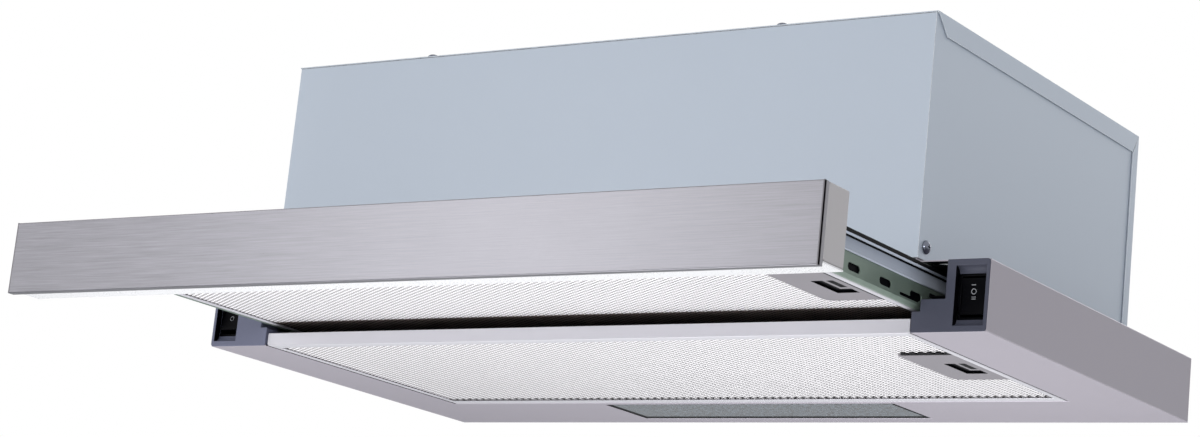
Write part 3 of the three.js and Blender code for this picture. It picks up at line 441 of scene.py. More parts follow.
def zinc():
    spangle = layer("spangle", 130, 1.2, tone=0.35, gloss=0.12, relief=0.004)
    drawn = layer("drawn", 1800, 1.5, tone=0.25, gloss=0.05, relief=0.004)
    return finish("zinc", finishes().zinc, (spangle, drawn), roughness=0.42, metallic=0.5, darker=0.7)


def slide_steel():
    drawn = layer("drawn", 1500, 2.0, tone=0.35, gloss=0.1, relief=0.004)
    patina = layer("patina", 14, 1.5, tone=0.3, gloss=0.05)
    return finish(
        "slide_steel", finishes().slide, (drawn, patina), roughness=0.55, metallic=0.1, darker=0.7
    )


def bright_cut():
    """Bare edge of cut sheet."""
    drawn = layer("drawn", 4000, 2.0, tone=0.4, gloss=0.1)
    return finish("bright_cut", linear(214, 216, 218), (drawn,), roughness=0.35, metallic=0.8)


def frame_aluminium():
    brushing = layer("brushing", 1900, 1.6, tone=0.18, gloss=0.08, relief=0.003)
    patina = layer("patina", 7, 1.4, tone=0.14, gloss=0.05)
    return finish(
        "frame_aluminium",
        finishes().filter_frame,
        (brushing, patina),
        roughness=0.42,
        metallic=0.25,
        darker=0.82,
    )


def mesh_aluminium():
    patina = layer("patina", 30, 1.5, tone=0.12, gloss=0.1)
    return finish(
        "mesh_aluminium", finishes().filter_mesh, (patina,), roughness=0.36, metallic=0.35, darker=0.86
    )


def inner_mesh():
    """Packed layers seen through the outer skin, greyer and darker than the aluminium as painted shade
    between them.
    """
    speckle = layer("speckle", 420, 2.0, tone=0.6, gloss=0.1, relief=0.25)
    return finish(
        "inner_mesh", linear(168, 160, 165), (speckle,), roughness=0.6, metallic=0.1, darker=0.35
    )


def shaded_mesh():
    """The front filter's strands inside the base, where hardly any light comes."""
    patina = layer("patina", 60, 2.0, tone=0.4, gloss=0.1)
    return finish(
        "shaded_mesh",
        linear(100, 88, 84),
        (patina,),
        roughness=0.5,
        metallic=0.2,
        darker=0.6,
        Specular_IOR_Level=0.4,
    )


def white_paint():
    grain = layer("grain", 1200, 1.2, tone=0.06, gloss=0.05, relief=0.004)
    patina = layer("patina", 6, 1.2, tone=0.06, gloss=0.04)
    return finish(
        "white_paint", finishes().white, (grain, patina), roughness=0.28, darker=0.9, Coat_Weight=0.3
    )


def cap_plastic(side="right"):
    """The end caps' blue-grey, which the impeller shares; the left cap's copy is painted paler as
    painted light.
    """
    tint = tuple(c * CAP_PAINTED_LIGHT[side] for c in finishes().cap)
    grain = layer("grain", 1700, 2.0, tone=0.14, gloss=0.1, relief=0.02)
    patina = layer("patina", 12, 1.3, tone=0.16, gloss=0.06)
    return finish(f"cap_plastic_{side}", tint, (grain, patina), roughness=0.6, Specular_IOR_Level=0.3)


def cheek_plastic():
    grain = layer("grain", 1600, 1.6, tone=0.1, gloss=0.08, relief=0.01)
    patina = layer("patina", 18, 1.3, tone=0.12, gloss=0.05)
    return finish(
        "cheek_plastic", finishes().cheek, (grain, patina), roughness=0.44, metallic=0.1, darker=0.84
    )


def latch_plastic():
    grain = layer("grain", 1800, 1.6, tone=0.08, gloss=0.08, relief=0.012)
    patina = layer("patina", 40, 1.2, tone=0.08, gloss=0.05)
    return finish("latch_plastic", finishes().latch, (grain, patina), roughness=0.55, darker=0.86)


def black_plastic():
    """Switches and flaps, and the painted shade in slots, gaps and hollows."""
    grain = layer("grain", 1500, 1.6, tone=0.3, gloss=0.12, relief=0.006)
    return finish(
        "black_plastic",
        finishes().black,
        (grain,),
        roughness=0.45,
        darker=0.6,
        Specular_IOR_Level=0.05,
    )


def dark_plastic():
    grain = layer("grain", 1100, 1.6, tone=0.25, gloss=0.12, relief=0.015)
    patina = layer("patina", 15, 1.4, tone=0.25, gloss=0.08)
    return finish("dark_plastic", finishes().shadow, (grain, patina), roughness=0.5, darker=0.65)


def mark_print():
    grain = layer("grain", 2500, 1.5, tone=0.15, gloss=0.05)
    return finish("mark_print", finishes().mark, (grain,), roughness=0.5)


def lens_glass():
    speckle = layer("speckle", 430, 9.0, tone=1.0, gloss=0.12, relief=0.3)
    patina = layer("patina", 9, 1.4, tone=0.25)
    return finish(
        "lens_glass", finishes().lens, (speckle, patina), roughness=0.2, darker=0.22, Coat_Weight=0.2
    )


def bulb_glass():
    patina = layer("patina", 40, 1.2, tone=0.1, gloss=0.05)
    return finish("bulb_glass", finishes().bulb, (patina,), roughness=0.22)


def plating():
    patina = layer("patina", 300, 1.6, tone=0.2, gloss=0.08)
    return finish("plating", finishes().chrome, (patina,), roughness=0.14, metallic=1.0)


def motor_steel():
    drawn = layer("drawn", 900, 1.8, tone=0.3, gloss=0.1, relief=0.01)
    patina = layer("patina", 25, 1.6, tone=0.3, gloss=0.1)
    return finish(
        "motor_steel", finishes().motor, (drawn, patina), roughness=0.38, metallic=0.9, darker=0.7
    )


def rubber():
    grain = layer("grain", 1400, 1.6, tone=0.3, gloss=0.1, relief=0.02)
    return finish("rubber", linear(24, 24, 26), (grain,), roughness=0.7, darker=0.7)


# ---- pieces

SHARP_EDGE = math.radians(28)  # edges sharper than this are rounded
SAME_FLAT = math.radians(0.4)  # faces that turn by less are one face
FOLD_AREA = 6e-4  # square metres; an edge between larger faces is a fold, any other a cut edge
SMALL_FOLD_AREA = 3e-4  # the same for the fascia and the fixed rails
NARROW_FOLD_AREA = 2e-4  # the same for the filter frames
PAINTED_EDGE = 0.15 * MM  # rounding of a cut edge under paint
BARE_EDGE = 0.1 * MM  # the same on plated and brushed sheet
THIN_FOLD = 0.5 * MM  # rounding of the folds in slides, arms and filter frames


def new_piece(name, mesh, *materials):
    piece = bpy.data.objects.new(name, mesh)
    bpy.context.scene.collection.objects.link(piece)
    for material in materials:
        mesh.materials.append(material)
    return piece


def piece_of(name, bm, *materials, smooth=True):
    """A piece from a bmesh, which is used up."""
    for face in bm.faces:
        face.smooth = smooth
    mesh = bpy.data.meshes.new(name)
    bm.to_mesh(mesh)
    bm.free()
    return new_piece(name, mesh, *materials)


def drop(thing):
    bpy.data.objects.remove(thing, do_unlink=True)


def mesh_made(piece, name):
    """The mesh that a piece's modifiers make."""
    bpy.context.view_layer.update()
    depsgraph = bpy.context.evaluated_depsgraph_get()
    mesh = bpy.data.meshes.new_from_object(piece.evaluated_get(depsgraph))
    mesh.name = name
    return mesh


def applied(piece):
    """The piece with its modifiers made into mesh."""
    made, before = mesh_made(piece, piece.name), piece.data
    piece.modifiers.clear()
    piece.data = made
    bpy.data.meshes.remove(before)
    return piece


def carry(piece, node):
    """The piece rides with a node's body."""
    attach(piece, BODY_OF[node])


def settle(piece, *nodes):
    """The piece stands for these nodes and rides with them."""
    carry(piece, nodes[0])
    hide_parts(*nodes)


def added(name, bm, material, node):
    """A flat-faced detail that the solids leave out. It rides with a node."""
    bmesh.ops.recalc_face_normals(bm, faces=bm.faces)
    carry(piece_of(name, bm, material, smooth=False), node)


def painted_shade_inlay(name, node, low, high):
    """A thin black bar of painted shade, standing for a deep, narrow gap or a spot that light does not
    reach.
    """
    bm = bmesh.new()
    slab(bm, low, high)
    added(name, bm, black_plastic(), node)


def rounded(name, bm, radius, cut, fold_area, materials, segments=3, fold_slot=-1):
    """A piece from a bmesh, its long folds rounded by radius and its cut edges by less."""
    bmesh.ops.triangulate(bm, faces=[face for face in bm.faces if len(face.verts) > 4])
    weight = bm.edges.layers.float.new("bevel_weight_edge")
    for edge in bm.edges:
        if len(edge.link_faces) != 2 or edge.calc_face_angle(0.0) < SHARP_EDGE:
            continue
        smaller = min(face.calc_area() for face in edge.link_faces)
        edge[weight] = 1.0 if smaller >= fold_area else cut / radius
    piece = piece_of(name, bm, *materials)
    bevel = piece.modifiers.new("Round", "BEVEL")
    bevel.limit_method = "WEIGHT"
    bevel.width = radius
    bevel.segments = segments
    bevel.use_clamp_overlap = False
    bevel.harden_normals = False
    bevel.material = fold_slot
    weigh = piece.modifiers.new("Flats", "WEIGHTED_NORMAL")
    weigh.keep_sharp = False
    weigh.weight = 100
    return applied(piece)


def node_shape(node):
    """A clean copy of a node's mesh: corners merged and flat faces whole."""
    bm = bmesh.new()
    bm.from_mesh(frame["nodes"][node].data)
    bmesh.ops.remove_doubles(bm, verts=bm.verts, dist=2e-6)
    bmesh.ops.dissolve_limit(
        bm, angle_limit=SAME_FLAT, use_dissolve_boundaries=False, verts=bm.verts, edges=bm.edges
    )
    return bm


def dress(
    node,
    radius,
    material,
    fold=None,
    inner=None,
    painted_shade=None,
    cut=None,
    fold_area=FOLD_AREA,
    segments=3,
):
    """Stands in for a node: the same shape with rounded edges.

    The rounding takes the fold material, on the case and base a paler painted highlight, and faces that
    painted_shade picks take the inner one, black painted shade.
    """
    cut = sizes().shear if cut is None else cut
    materials = [each for each in (material, fold, inner) if each]
    bm = node_shape(node)
    if painted_shade:
        for face in bm.faces:
            if painted_shade(face):
                face.material_index = len(materials) - 1
    fold_slot = 1 if fold else -1
    piece = rounded(f"{node}_shown", bm, radius, cut, fold_area, materials, segments, fold_slot)
    settle(piece, node)


def mould(node, material, radius=None, segments=2, inner=None, painted_shade=None):
    """Stands in for a moulded node: every edge is rounded alike."""
    radius = sizes().moulded if radius is None else radius
    looks = {"inner": inner, "painted_shade": painted_shade, "segments": segments}
    dress(node, radius, material, cut=radius, fold_area=0.0, **looks)


def coat(material, *nodes):
    """Gives nodes whose shape stays their material."""
    for node in nodes:
        mesh = frame["nodes"][node].data
        mesh.materials.clear()
        mesh.materials.append(material)


def ring_mesh(bm, profile, place, steps):
    """Adds a closed profile of (radius, height) points turned round Z and put in place."""
    loops = []
    for radius, height in profile:
        loop = []
        for i in range(steps):
            turn = 2 * math.pi * i / steps
            point = Vector((radius * math.cos(turn), radius * math.sin(turn), height))
            loop.append(bm.verts.new(place @ point))
        loops.append(loop)
    for first, second in zip(loops, loops[1:] + loops[:1]):
        for i in range(steps):
            k = (i + 1) % steps
            bm.faces.new((first[i], first[k], second[k], second[i]))


def closed(bm):
    """Merges poles and points the faces outwards."""
    bmesh.ops.remove_doubles(bm, verts=bm.verts, dist=1e-6)
    bmesh.ops.dissolve_degenerate(bm, edges=bm.edges, dist=1e-7)
    bmesh.ops.recalc_face_normals(bm, faces=bm.faces)
    return bm


def slab(bm, low, high):
    """Adds a box between two corners."""
    middle = (Vector(low) + Vector(high)) / 2
    size = Vector(high) - Vector(low)
    matrix = Matrix.Translation(middle) @ Matrix.Diagonal((*size, 1.0))
    return bmesh.ops.create_cube(bm, size=1.0, matrix=matrix)["verts"]


def extruded(bm, outline, start, end):
    """Adds a closed (x, z) outline drawn out along Y, and gives its side faces in order."""
    near = [bm.verts.new((x, start, z)) for x, z in outline]
    far = [bm.verts.new((x, end, z)) for x, z in outline]
    bm.faces.new(near)
    bm.faces.new(far[::-1])
    count = len(outline)
    return [
        bm.faces.new((near[i], far[i], far[(i + 1) % count], near[(i + 1) % count]))
        for i in range(count)
    ]


def creased(piece, degrees):
    """Shades flat across sharp edges."""
    piece.data.set_sharp_from_angle(angle=math.radians(degrees))
    return piece


def middle_of(node):
    low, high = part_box(node)
    return (low + high) / 2


# ---- geometry node trees

def tree_with(name, inputs):
    """A geometry node tree with named inputs, and its way in and out."""
    tree = bpy.data.node_groups.new(name, "GeometryNodeTree")
    tree.interface.new_socket(name="Geometry", in_out="OUTPUT", socket_type="NodeSocketGeometry")
    for label, kind in inputs.items():
        tree.interface.new_socket(name=label, in_out="INPUT", socket_type=f"NodeSocket{kind}")
    return tree, tree.nodes.new("NodeGroupInput").outputs, tree.nodes.new("NodeGroupOutput").inputs


def shape_of(tree, thing):
    """An object's mesh in its own axes."""
    node = step(tree, "GeometryNodeObjectInfo", {}, {"Object": thing}, transform_space="ORIGINAL")
    return node.outputs["Geometry"]


def copies_on(tree, points, piece, material, **links):
    """A copy of the piece on each point, as plain mesh with one material."""
    links = {"Points": points, "Instance": shape_of(tree, piece), **links}
    copies = take(tree, "GeometryNodeInstanceOnPoints", {}, links)
    real = take(tree, "GeometryNodeRealizeInstances", {}, {"Geometry": copies})
    return take(tree, "GeometryNodeSetMaterial", {}, {"Geometry": real, "Material": material})


def grown(name, tree, values):
    """The plain mesh that a tree makes from its named inputs."""
    seed = new_piece(f"{name}_seed", bpy.data.meshes.new(f"{name}_seed"))
    modifier = seed.modifiers.new("Grow", "NODES")
    modifier.node_group = tree
    for item in tree.interface.items_tree:
        if item.item_type == "SOCKET" and item.in_out == "INPUT":
            modifier[item.identifier] = values[item.name]
    mesh = mesh_made(seed, name)
    seed.modifiers.remove(modifier)
    drop(seed)
    return new_piece(name, mesh)


def lattice_grid(tree, given):
    """A grid with so many columns and rows, a cell's size apart."""
    links = {"Vertices X": given["Columns"], "Vertices Y": given["Rows"]}
    for way, count, pitch in (("X", "Columns", "Long way"), ("Y", "Rows", "Short way")):
        spaces = joined(tree, "SUBTRACT", given[count], 1.0)
        links[f"Size {way}"] = joined(tree, "MULTIPLY", spaces, given[pitch])
    return take(tree, "GeometryNodeMeshGrid", {}, links)


def staggered(tree, grid, given):
    """The grid with a second one, half a cell further along both ways."""
    cell = take(tree, "ShaderNodeCombineXYZ", {}, {"X": given["Long way"], "Y": given["Short way"]})
    half = take(tree, "ShaderNodeVectorMath", {1: (0.5, 0.5, 0.0)}, {0: cell}, operation="MULTIPLY")
    second = take(tree, "GeometryNodeTransform", {}, {"Geometry": grid, "Translation": half})
    both = step(tree, "GeometryNodeJoinGeometry")
    for part in (grid, second):
        tree.links.new(part, both.inputs[0])
    return both.outputs[0]


def outside_cut_out(tree, points, given):
    """The points without those between the cut-out's two corners."""
    where = take(tree, "GeometryNodeInputPosition")
    above, below = (
        take(
            tree,
            "FunctionNodeCompare",
            {},
            {"A": where, "B": given[corner]},
            data_type="VECTOR",
            mode="ELEMENT",
            operation=test,
        )
        for corner, test in (("Cut-out low", "GREATER_THAN"), ("Cut-out high", "LESS_THAN"))
    )
    inside = take(tree, "FunctionNodeBooleanMath", {}, {0: above, 1: below}, operation="AND")
    return take(tree, "GeometryNodeDeleteGeometry", {}, {"Geometry": points, "Selection": inside})


def lattice_tree():
    """Diamond cells in two staggered grids, left out inside a cut-out."""
    name = "Expanded mesh"
    if name in bpy.data.node_groups:
        return bpy.data.node_groups[name]
    inputs = {
        "Cell": "Object",
        "Columns": "Int",
        "Rows": "Int",
        "Long way": "Float",
        "Short way": "Float",
        "Centre": "Vector",
        "Cut-out low": "Vector",
        "Cut-out high": "Vector",
        "Material": "Material",
    }
    tree, given, out = tree_with(name, inputs)
    points = staggered(tree, lattice_grid(tree, given), given)
    placing = {"Geometry": points, "Translation": given["Centre"]}
    placed = take(tree, "GeometryNodeTransform", {}, placing)
    kept = outside_cut_out(tree, placed, given)
    tree.links.new(copies_on(tree, kept, given["Cell"], given["Material"]), out[0])
    return tree


def scatter_tree():
    """One object on each point of another, turned as the point's Way attribute says."""
    name = "Scatter fasteners"
    if name in bpy.data.node_groups:
        return bpy.data.node_groups[name]
    inputs = {"Piece": "Object", "Places": "Object", "Material": "Material"}
    tree, given, out = tree_with(name, inputs)
    way = step(tree, "GeometryNodeInputNamedAttribute", {"Name": "Way"}, data_type="FLOAT_VECTOR")
    facing = {"Vector": way.outputs["Attribute"]}
    turn = take(tree, "FunctionNodeAlignRotationToVector", {}, facing, axis="Z")
    places = shape_of(tree, given["Places"])
    made = copies_on(tree, places, given["Piece"], given["Material"], Rotation=turn)
    tree.links.new(made, out[0])
    return tree


def points_object(name, places):
    """Loose points, each with the way that an object on it faces."""
    mesh = bpy.data.meshes.new(name)
    mesh.from_pydata([place for place, _ in places], [], [])
    ways = mesh.attributes.new("Way", "FLOAT_VECTOR", "POINT")
    for item, (_, way) in zip(ways.data, places):
        item.vector = way
    return new_piece(name, mesh)


def scattered(name, piece, places, material):
    """Copies of a piece at (place, way) pairs, as one mesh."""
    points = points_object(f"{name}_places", places)
    made = grown(name, scatter_tree(), {"Piece": piece, "Places": points, "Material": material})
    drop(points)
    return made


# ---- filters

FACING = 0.5  # a face looks along an axis when its normal reaches this far that way
LATTICE_MARGIN = 0.4 * MM  # free strip round the diamonds
CUT_OUT_FRONT = {"front": -1.5 * MM, "rear": 0.4 * MM}  # past the latch plate's front edge
CUT_OUT_REAR = -1.5 * MM
CUT_OUT_RIGHT = 0.8 * MM
CUT_OUT_LEFT = -1 * MM
PAD_INSET = 0.6 * MM
PAD_DEPTH = 0.9 * MM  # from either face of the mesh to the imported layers
WELL_FRONT = 6 * MM  # the latch's well in front of its plate
FRAME_LIP = 8.7 * MM  # width of the rear filter frame's lip
CLENCH_GAP = 3.6 * MM  # from the lip to the mesh's clenched edge
SCALLOP_STEPS = 72


def cell_object():
    """One diamond of expanded mesh: a ring of four leaning strands."""
    wide, deep = sizes().long_way / 2, sizes().short_way / 2
    bm = bmesh.new()
    outer, inner = (
        [
            bm.verts.new(corner)
            for corner in (
                (wide * share, 0, 0),
                (0, deep * share, -lean),
                (-wide * share, 0, 0),
                (0, -deep * share, lean),
            )
        ]
        for share, lean in ((1, 0), (1 - sizes().strand, sizes().twist))
    )
    for i in range(4):
        k = (i + 1) % 4
        bm.faces.new((outer[k], outer[i], inner[i], inner[k]))
    return piece_of("mesh_cell", bm, smooth=False)


def mesh_skin(side, cell, level, cut):
    """One skin of diamonds. A cut of 1 leaves out the latch plate's opening, and -1 leaves out none."""
    low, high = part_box(f"{side}_filter_mesh")
    plate_low, plate_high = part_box(f"{side}_latch_plate")
    long_way, short_way = sizes().long_way, sizes().short_way
    x, y, _ = (low + high) / 2
    values = {
        "Cell": cell,
        "Columns": int((high.x - low.x - 2 * LATTICE_MARGIN) / long_way),
        "Rows": int((high.y - low.y - 2 * LATTICE_MARGIN) / short_way),
        "Long way": long_way,
        "Short way": short_way,
        "Centre": Vector((x - long_way / 4, y - short_way / 4, level)),
        "Cut-out low": (plate_low.x - CUT_OUT_LEFT, plate_low.y - CUT_OUT_FRONT[side], -cut),
        "Cut-out high": (plate_high.x + CUT_OUT_RIGHT, plate_high.y + CUT_OUT_REAR, cut),
        "Material": mesh_aluminium(),
    }
    return grown(f"{side}_mesh_skin", lattice_tree(), values)


def lay_mesh(side, cell):
    """Two skins of expanded mesh, the front one's lower skin in shade behind the base's edge."""
    low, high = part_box(f"{side}_filter_mesh")
    bm = bmesh.new()
    for level, cut in ((low.z + sizes().twist, 1.0), (high.z - sizes().twist, -1.0)):
        skin = mesh_skin(side, cell, level, cut)
        bm.from_mesh(skin.data)
        drop(skin)
    lattice = piece_of(f"{side}_mesh", bm, mesh_aluminium(), shaded_mesh(), smooth=False)
    base_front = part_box("rear_filter_frame")[0].y
    middle = (low.z + high.z) / 2
    for polygon in lattice.data.polygons:
        inside = polygon.center.y > base_front and polygon.center.z < middle
        polygon.material_index = int(side == "front" and inside)
    settle(lattice, f"{side}_filter_mesh")


def lay_pad(side):
    """The packed layers between the skins, darkened as painted shade, with a black well of painted
    shade for the latch.
    """
    low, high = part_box(f"{side}_filter_mesh")
    plate_low, plate_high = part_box(f"{side}_latch_plate")
    left, right = low.x + PAD_INSET, high.x - PAD_INSET
    front, rear = low.y + PAD_INSET, high.y - PAD_INSET
    well_left = plate_low.x - PAD_INSET
    well_front, well_rear = plate_low.y - WELL_FRONT, plate_high.y + PAD_INSET
    outline = [
        (left, front),
        (right, front),
        (right, well_front),
        (well_left, well_front),
        (well_left, well_rear),
        (right, well_rear),
        (right, rear),
        (left, rear),
    ]
    bm = bmesh.new()
    face = bm.faces.new([bm.verts.new((x, y, low.z + PAD_DEPTH)) for x, y in outline])
    extrusion = bmesh.ops.extrude_face_region(bm, geom=[face])
    top = [item for item in extrusion["geom"] if isinstance(item, bmesh.types.BMVert)]
    bmesh.ops.translate(bm, verts=top, vec=(0, 0, high.z - low.z - 2 * PAD_DEPTH))
    added(f"{side}_mesh_pad", bm, inner_mesh(), f"{side}_filter_mesh")
    if side == "front":
        pad_shade()
    roof, thick, clear = plate_high.z + 3.2 * MM, 0.5 * MM, 0.1 * MM
    bm = bmesh.new()
    slab(bm, (well_left, well_front + clear, roof), (right, well_rear, roof + thick))
    if side == "rear":
        scallop(bm, plate_low, plate_high)
    added(f"{side}_latch_well", bm, black_plastic(), f"{side}_latch_plate")


def pad_shade():
    """A black strip of painted shade over the front pad where it runs inside the base."""
    low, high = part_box("front_filter_mesh")
    base_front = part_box("rear_filter_frame")[0].y
    pad = low.z + PAD_DEPTH
    painted_shade_inlay(
        "front_pad_seal",
        "front_filter_mesh",
        (low.x + PAD_INSET, base_front, pad - 0.3 * MM),
        (high.x - PAD_INSET, high.y - PAD_INSET, pad - 0.05 * MM),
    )


def edge_dashes():
    """The row of dark openings where the rear mesh is clenched in its frame, drawn as black bars of
    painted shade.
    """
    low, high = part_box("rear_filter_mesh")
    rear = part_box("rear_filter_frame")[1].y - FRAME_LIP - CLENCH_GAP
    half, deep = 1.7 * MM, 1.2 * MM
    proud, sunk = 0.35 * MM, 0.1 * MM
    pitch = sizes().long_way
    bm = bmesh.new()
    for i in range(int((high.x - low.x) / pitch)):
        x = low.x + (i + 0.5) * pitch
        slab(bm, (x - half, rear - deep, low.z - proud), (x + half, rear, low.z - sunk))
    added("rear_mesh_dashes", bm, black_plastic(), "rear_filter_mesh")


def scallop(bm, plate_low, plate_high):
    """Adds the shadow in front of a latch plate, its edge following the mesh's diamonds."""
    begin = plate_low.x + 3 * MM
    length_along = plate_high.x - begin
    level, thick = plate_low.z + 0.4 * MM, 0.2 * MM
    narrow, bulge = 1.6 * MM, 5.4 * MM
    rear = plate_low.y - 0.05 * MM
    sections = []
    for i in range(SCALLOP_STEPS + 1):
        along = length_along * i / SCALLOP_STEPS
        wave = abs(math.sin(math.pi * along / sizes().long_way))
        front = plate_low.y - narrow - bulge * wave
        corners = ((front, level), (rear, level), (rear, level + thick), (front, level + thick))
        sections.append([bm.verts.new((begin + along, y, z)) for y, z in corners])
    bm.faces.new(sections[0])
    bm.faces.new(sections[-1])
    for first, second in zip(sections, sections[1:]):
        for i in range(4):
            k = (i + 1) % 4
            bm.faces.new((first[i], first[k], second[k], second[i]))


def around_slot(side):
    """Picks the walls of the finger slot in a latch plate, to be painted black as shade."""
    low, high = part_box(f"{side}_latch_plate")
    rim, end = 2 * MM, 8 * MM

    def painted_shade(face):
        x, y, _ = face.calc_center_median()
        inside = low.x + rim < x < high.x - rim and low.y + end < y < high.y - end
        return inside and abs(face.normal.z) < FACING

    return painted_shade


def behind_pad(side):
    """Picks all of a latch but the face of its thumb pad, to be painted black as shade."""
    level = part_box(f"{side}_latch_slider")[0].z + 0.3 * MM

    def painted_shade(face):
        return face.normal.z > -FACING or face.calc_center_median().z > level

    return painted_shade


def grip_shadow(side):
    """The groove in the thumb pad of a latch, drawn as a black bar of painted shade."""
    node = f"{side}_latch_slider"
    low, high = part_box(node)
    left, right = high.x - 15.8 * MM, high.x - 11.1 * MM
    front, rear = low.y + 7.3 * MM, low.y + 24.5 * MM
    proud, sunk = low.z - 0.08 * MM, low.z + 0.3 * MM
    painted_shade_inlay(f"{side}_latch_grip", node, (left, front, proud), (right, rear, sunk))


def filter_gap():
    """Painted shade in the gap between the rear filter and the base at its right side."""
    low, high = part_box("rear_filter_frame")
    left, right = high.x + 0.25 * MM, high.x + 1.05 * MM
    end = 0.5 * MM
    lower, upper = low.z + 0.02 * MM, low.z + 0.9 * MM
    corners = (left, low.y + end, lower), (right, high.y - end, upper)
    painted_shade_inlay("rear_filter_gap", "base_frame", *corners)


def latch_line():
    """A black line of painted shade along the right edge of the front filter's latch plate."""
    node = "front_latch_plate"
    low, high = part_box(node)
    left, right = high.x - 0.4 * MM, high.x + 0.6 * MM
    proud, sunk = low.z - 0.1 * MM, low.z + 0.3 * MM
    painted_shade_inlay("front_latch_edge", node, (left, low.y, proud), (right, high.y, sunk))


def make_filters():
    cell = cell_object()
    for side in ("front", "rear"):
        dress(f"{side}_filter_frame", THIN_FOLD, frame_aluminium(), fold_area=NARROW_FOLD_AREA)
        lay_mesh(side, cell)
        lay_pad(side)
        for part, radius, picks in (
            ("plate", 0.3 * MM, around_slot(side)),
            ("slider", 0.2 * MM, behind_pad(side)),
        ):
            node = f"{side}_latch_{part}"
            mould(node, latch_plastic(), radius, inner=black_plastic(), painted_shade=picks)
        grip_shadow(side)
    drop(cell)
    edge_dashes()
    filter_gap()
    latch_line()


# ---- case, base and drawer

RECESS_REACH = Vector((13, 12, 16)) * MM  # half of the room round a rocker
RECESS_WALL = 0.7  # how far along X the normal of a recess's side wall reaches
RAIL_SHADE = -9 * MM  # below this a fixed rail's front end lies in shadow, painted black
RACEWAY_FACES = (3, 5, 6, 7, 8, 9)  # of a drawer rail's profile, those in shadow, painted black


def make_case():
    dress("case_front_sides", 0.9 * MM, case_paint(), case_fold(), cut=PAINTED_EDGE)
    dress("case_top_back", 0.8 * MM, case_paint(), case_fold(), cut=PAINTED_EDGE)


def inside_base(face):
    """Picks the faces of the base frame that look inwards, away from light, to be painted black as
    shade.
    """
    low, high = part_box("base_frame")
    middle, normal = face.calc_center_median(), face.normal
    strip, shoulder = 4 * MM, 12 * MM
    inwards = normal.x * middle.x < 0 and abs(normal.x) > FACING
    rear = normal.y < -FACING and middle.y > high.y - strip
    under_top = normal.z < -FACING and -shoulder < middle.z < 0
    on_floor = normal.z > FACING and middle.z < low.z + strip
    return inwards or rear or under_top or on_floor


def beside_rocker(rocker):
    """Picks the side walls of the recess that a rocker sits in, to be painted black as shade."""
    middle = middle_of(rocker)

    def painted_shade(face):
        away = face.calc_center_median() - middle
        near = all(abs(part) < reach for part, reach in zip(away, RECESS_REACH))
        return near and abs(face.normal.x) > RECESS_WALL and face.normal.x * away.x < 0

    return painted_shade


def make_base():
    # Painted highlight on the base's folds, black painted shade on its inward faces.
    folds = {"fold": base_fold(), "inner": black_plastic(), "painted_shade": inside_base}
    dress("base_frame", sizes().fold, base_lacquer(), cut=PAINTED_EDGE, **folds)
    for side, rocker in (("right", "motor_rocker"), ("left", "light_rocker")):
        # The recess walls beside each rocker are painted black as shade.
        walls = {"inner": black_plastic(), "painted_shade": beside_rocker(rocker)}
        mould(f"end_cap_{side}", cap_plastic(side), 0.45 * MM, **walls)


def outer_side(node, side):
    """How far out a node reaches, along X."""
    low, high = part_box(node)
    return high.x if side == "right" else low.x


def make_drawer_rail(side):
    """A rail with a flat web, a raceway along its top and a turned-down lip; the faces round the
    raceway and lip are painted black as shade.
    """
    node = f"drawer_rail_{side}"
    low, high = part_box(node)
    depth = (high.x - low.x) / MM
    web = 1.4
    foot = (high.z - low.z) / MM - 3.3
    profile = [  # millimetres out from the web's back, and down from the top
        (0, foot),
        (web - 0.4, foot),
        (web, foot - 0.4),
        (web, 2.0),
        (web + 0.9, 1.0),
        (depth - 2.4, 1.0),
        (depth - 1.4, 1.6),
        (depth - 0.6, 2.4),
        (depth, 2.4),
        (depth, 0.5),
        (depth - 0.5, 0),
        (0, 0),
    ]
    back = outer_side(node, side) - WAY[side] * depth * MM
    outline = [(back + WAY[side] * out * MM, high.z - down * MM) for out, down in profile]
    bm = bmesh.new()
    faces = extruded(bm, outline, low.y, high.y)
    for i in RACEWAY_FACES:
        faces[i].material_index = 1
    bmesh.ops.recalc_face_normals(bm, faces=bm.faces)
    rail = piece_of(f"{node}_shown", bm, slide_steel(), black_plastic())
    settle(creased(rail, 25), node)


def rail_inside(face):
    """Picks all of a fixed rail but the upper part of its front end, to be painted black as shade."""
    return face.normal.y > -FACING or face.calc_center_median().z < RAIL_SHADE


def back_slots(side):
    """A black strip of painted shade behind the slots of a drawer arm."""
    node = f"drawer_arm_{side}"
    low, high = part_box(node)
    outer = outer_side(node, side) - WAY[side] * 1.4 * MM
    inner = outer - WAY[side] * 0.6 * MM
    front, lower, end = low.y + 4 * MM, low.z + 2.5 * MM, 1 * MM
    corners = (inner, front, lower), (outer, high.y - end, high.z - end)
    painted_shade_inlay(f"arm_backing_{side}", node, *corners)


def rail_outline(side):
    """The bright cut edge round the upper corner of a fixed rail's front end: bare cut metal with a
    painted highlight.
    """
    node = f"fixed_rail_{side}"
    low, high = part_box(node)
    outer = outer_side(node, side)
    around = [(-13.1, 1.3), (-2.0, 0), (1.0, -5.3)]  # millimetres from the rail's upper corner
    inside = [(-13.1, 0.75), (-2.4, -0.5), (0.4, -5.3)]
    outline = [(outer + WAY[side] * x * MM, high.z + z * MM) for x, z in around + inside[::-1]]
    start = low.y - 0.1 * MM
    bm = bmesh.new()
    extruded(bm, outline, start, start + 0.55 * MM)
    added(f"rail_outline_{side}", bm, case_fold(), node)


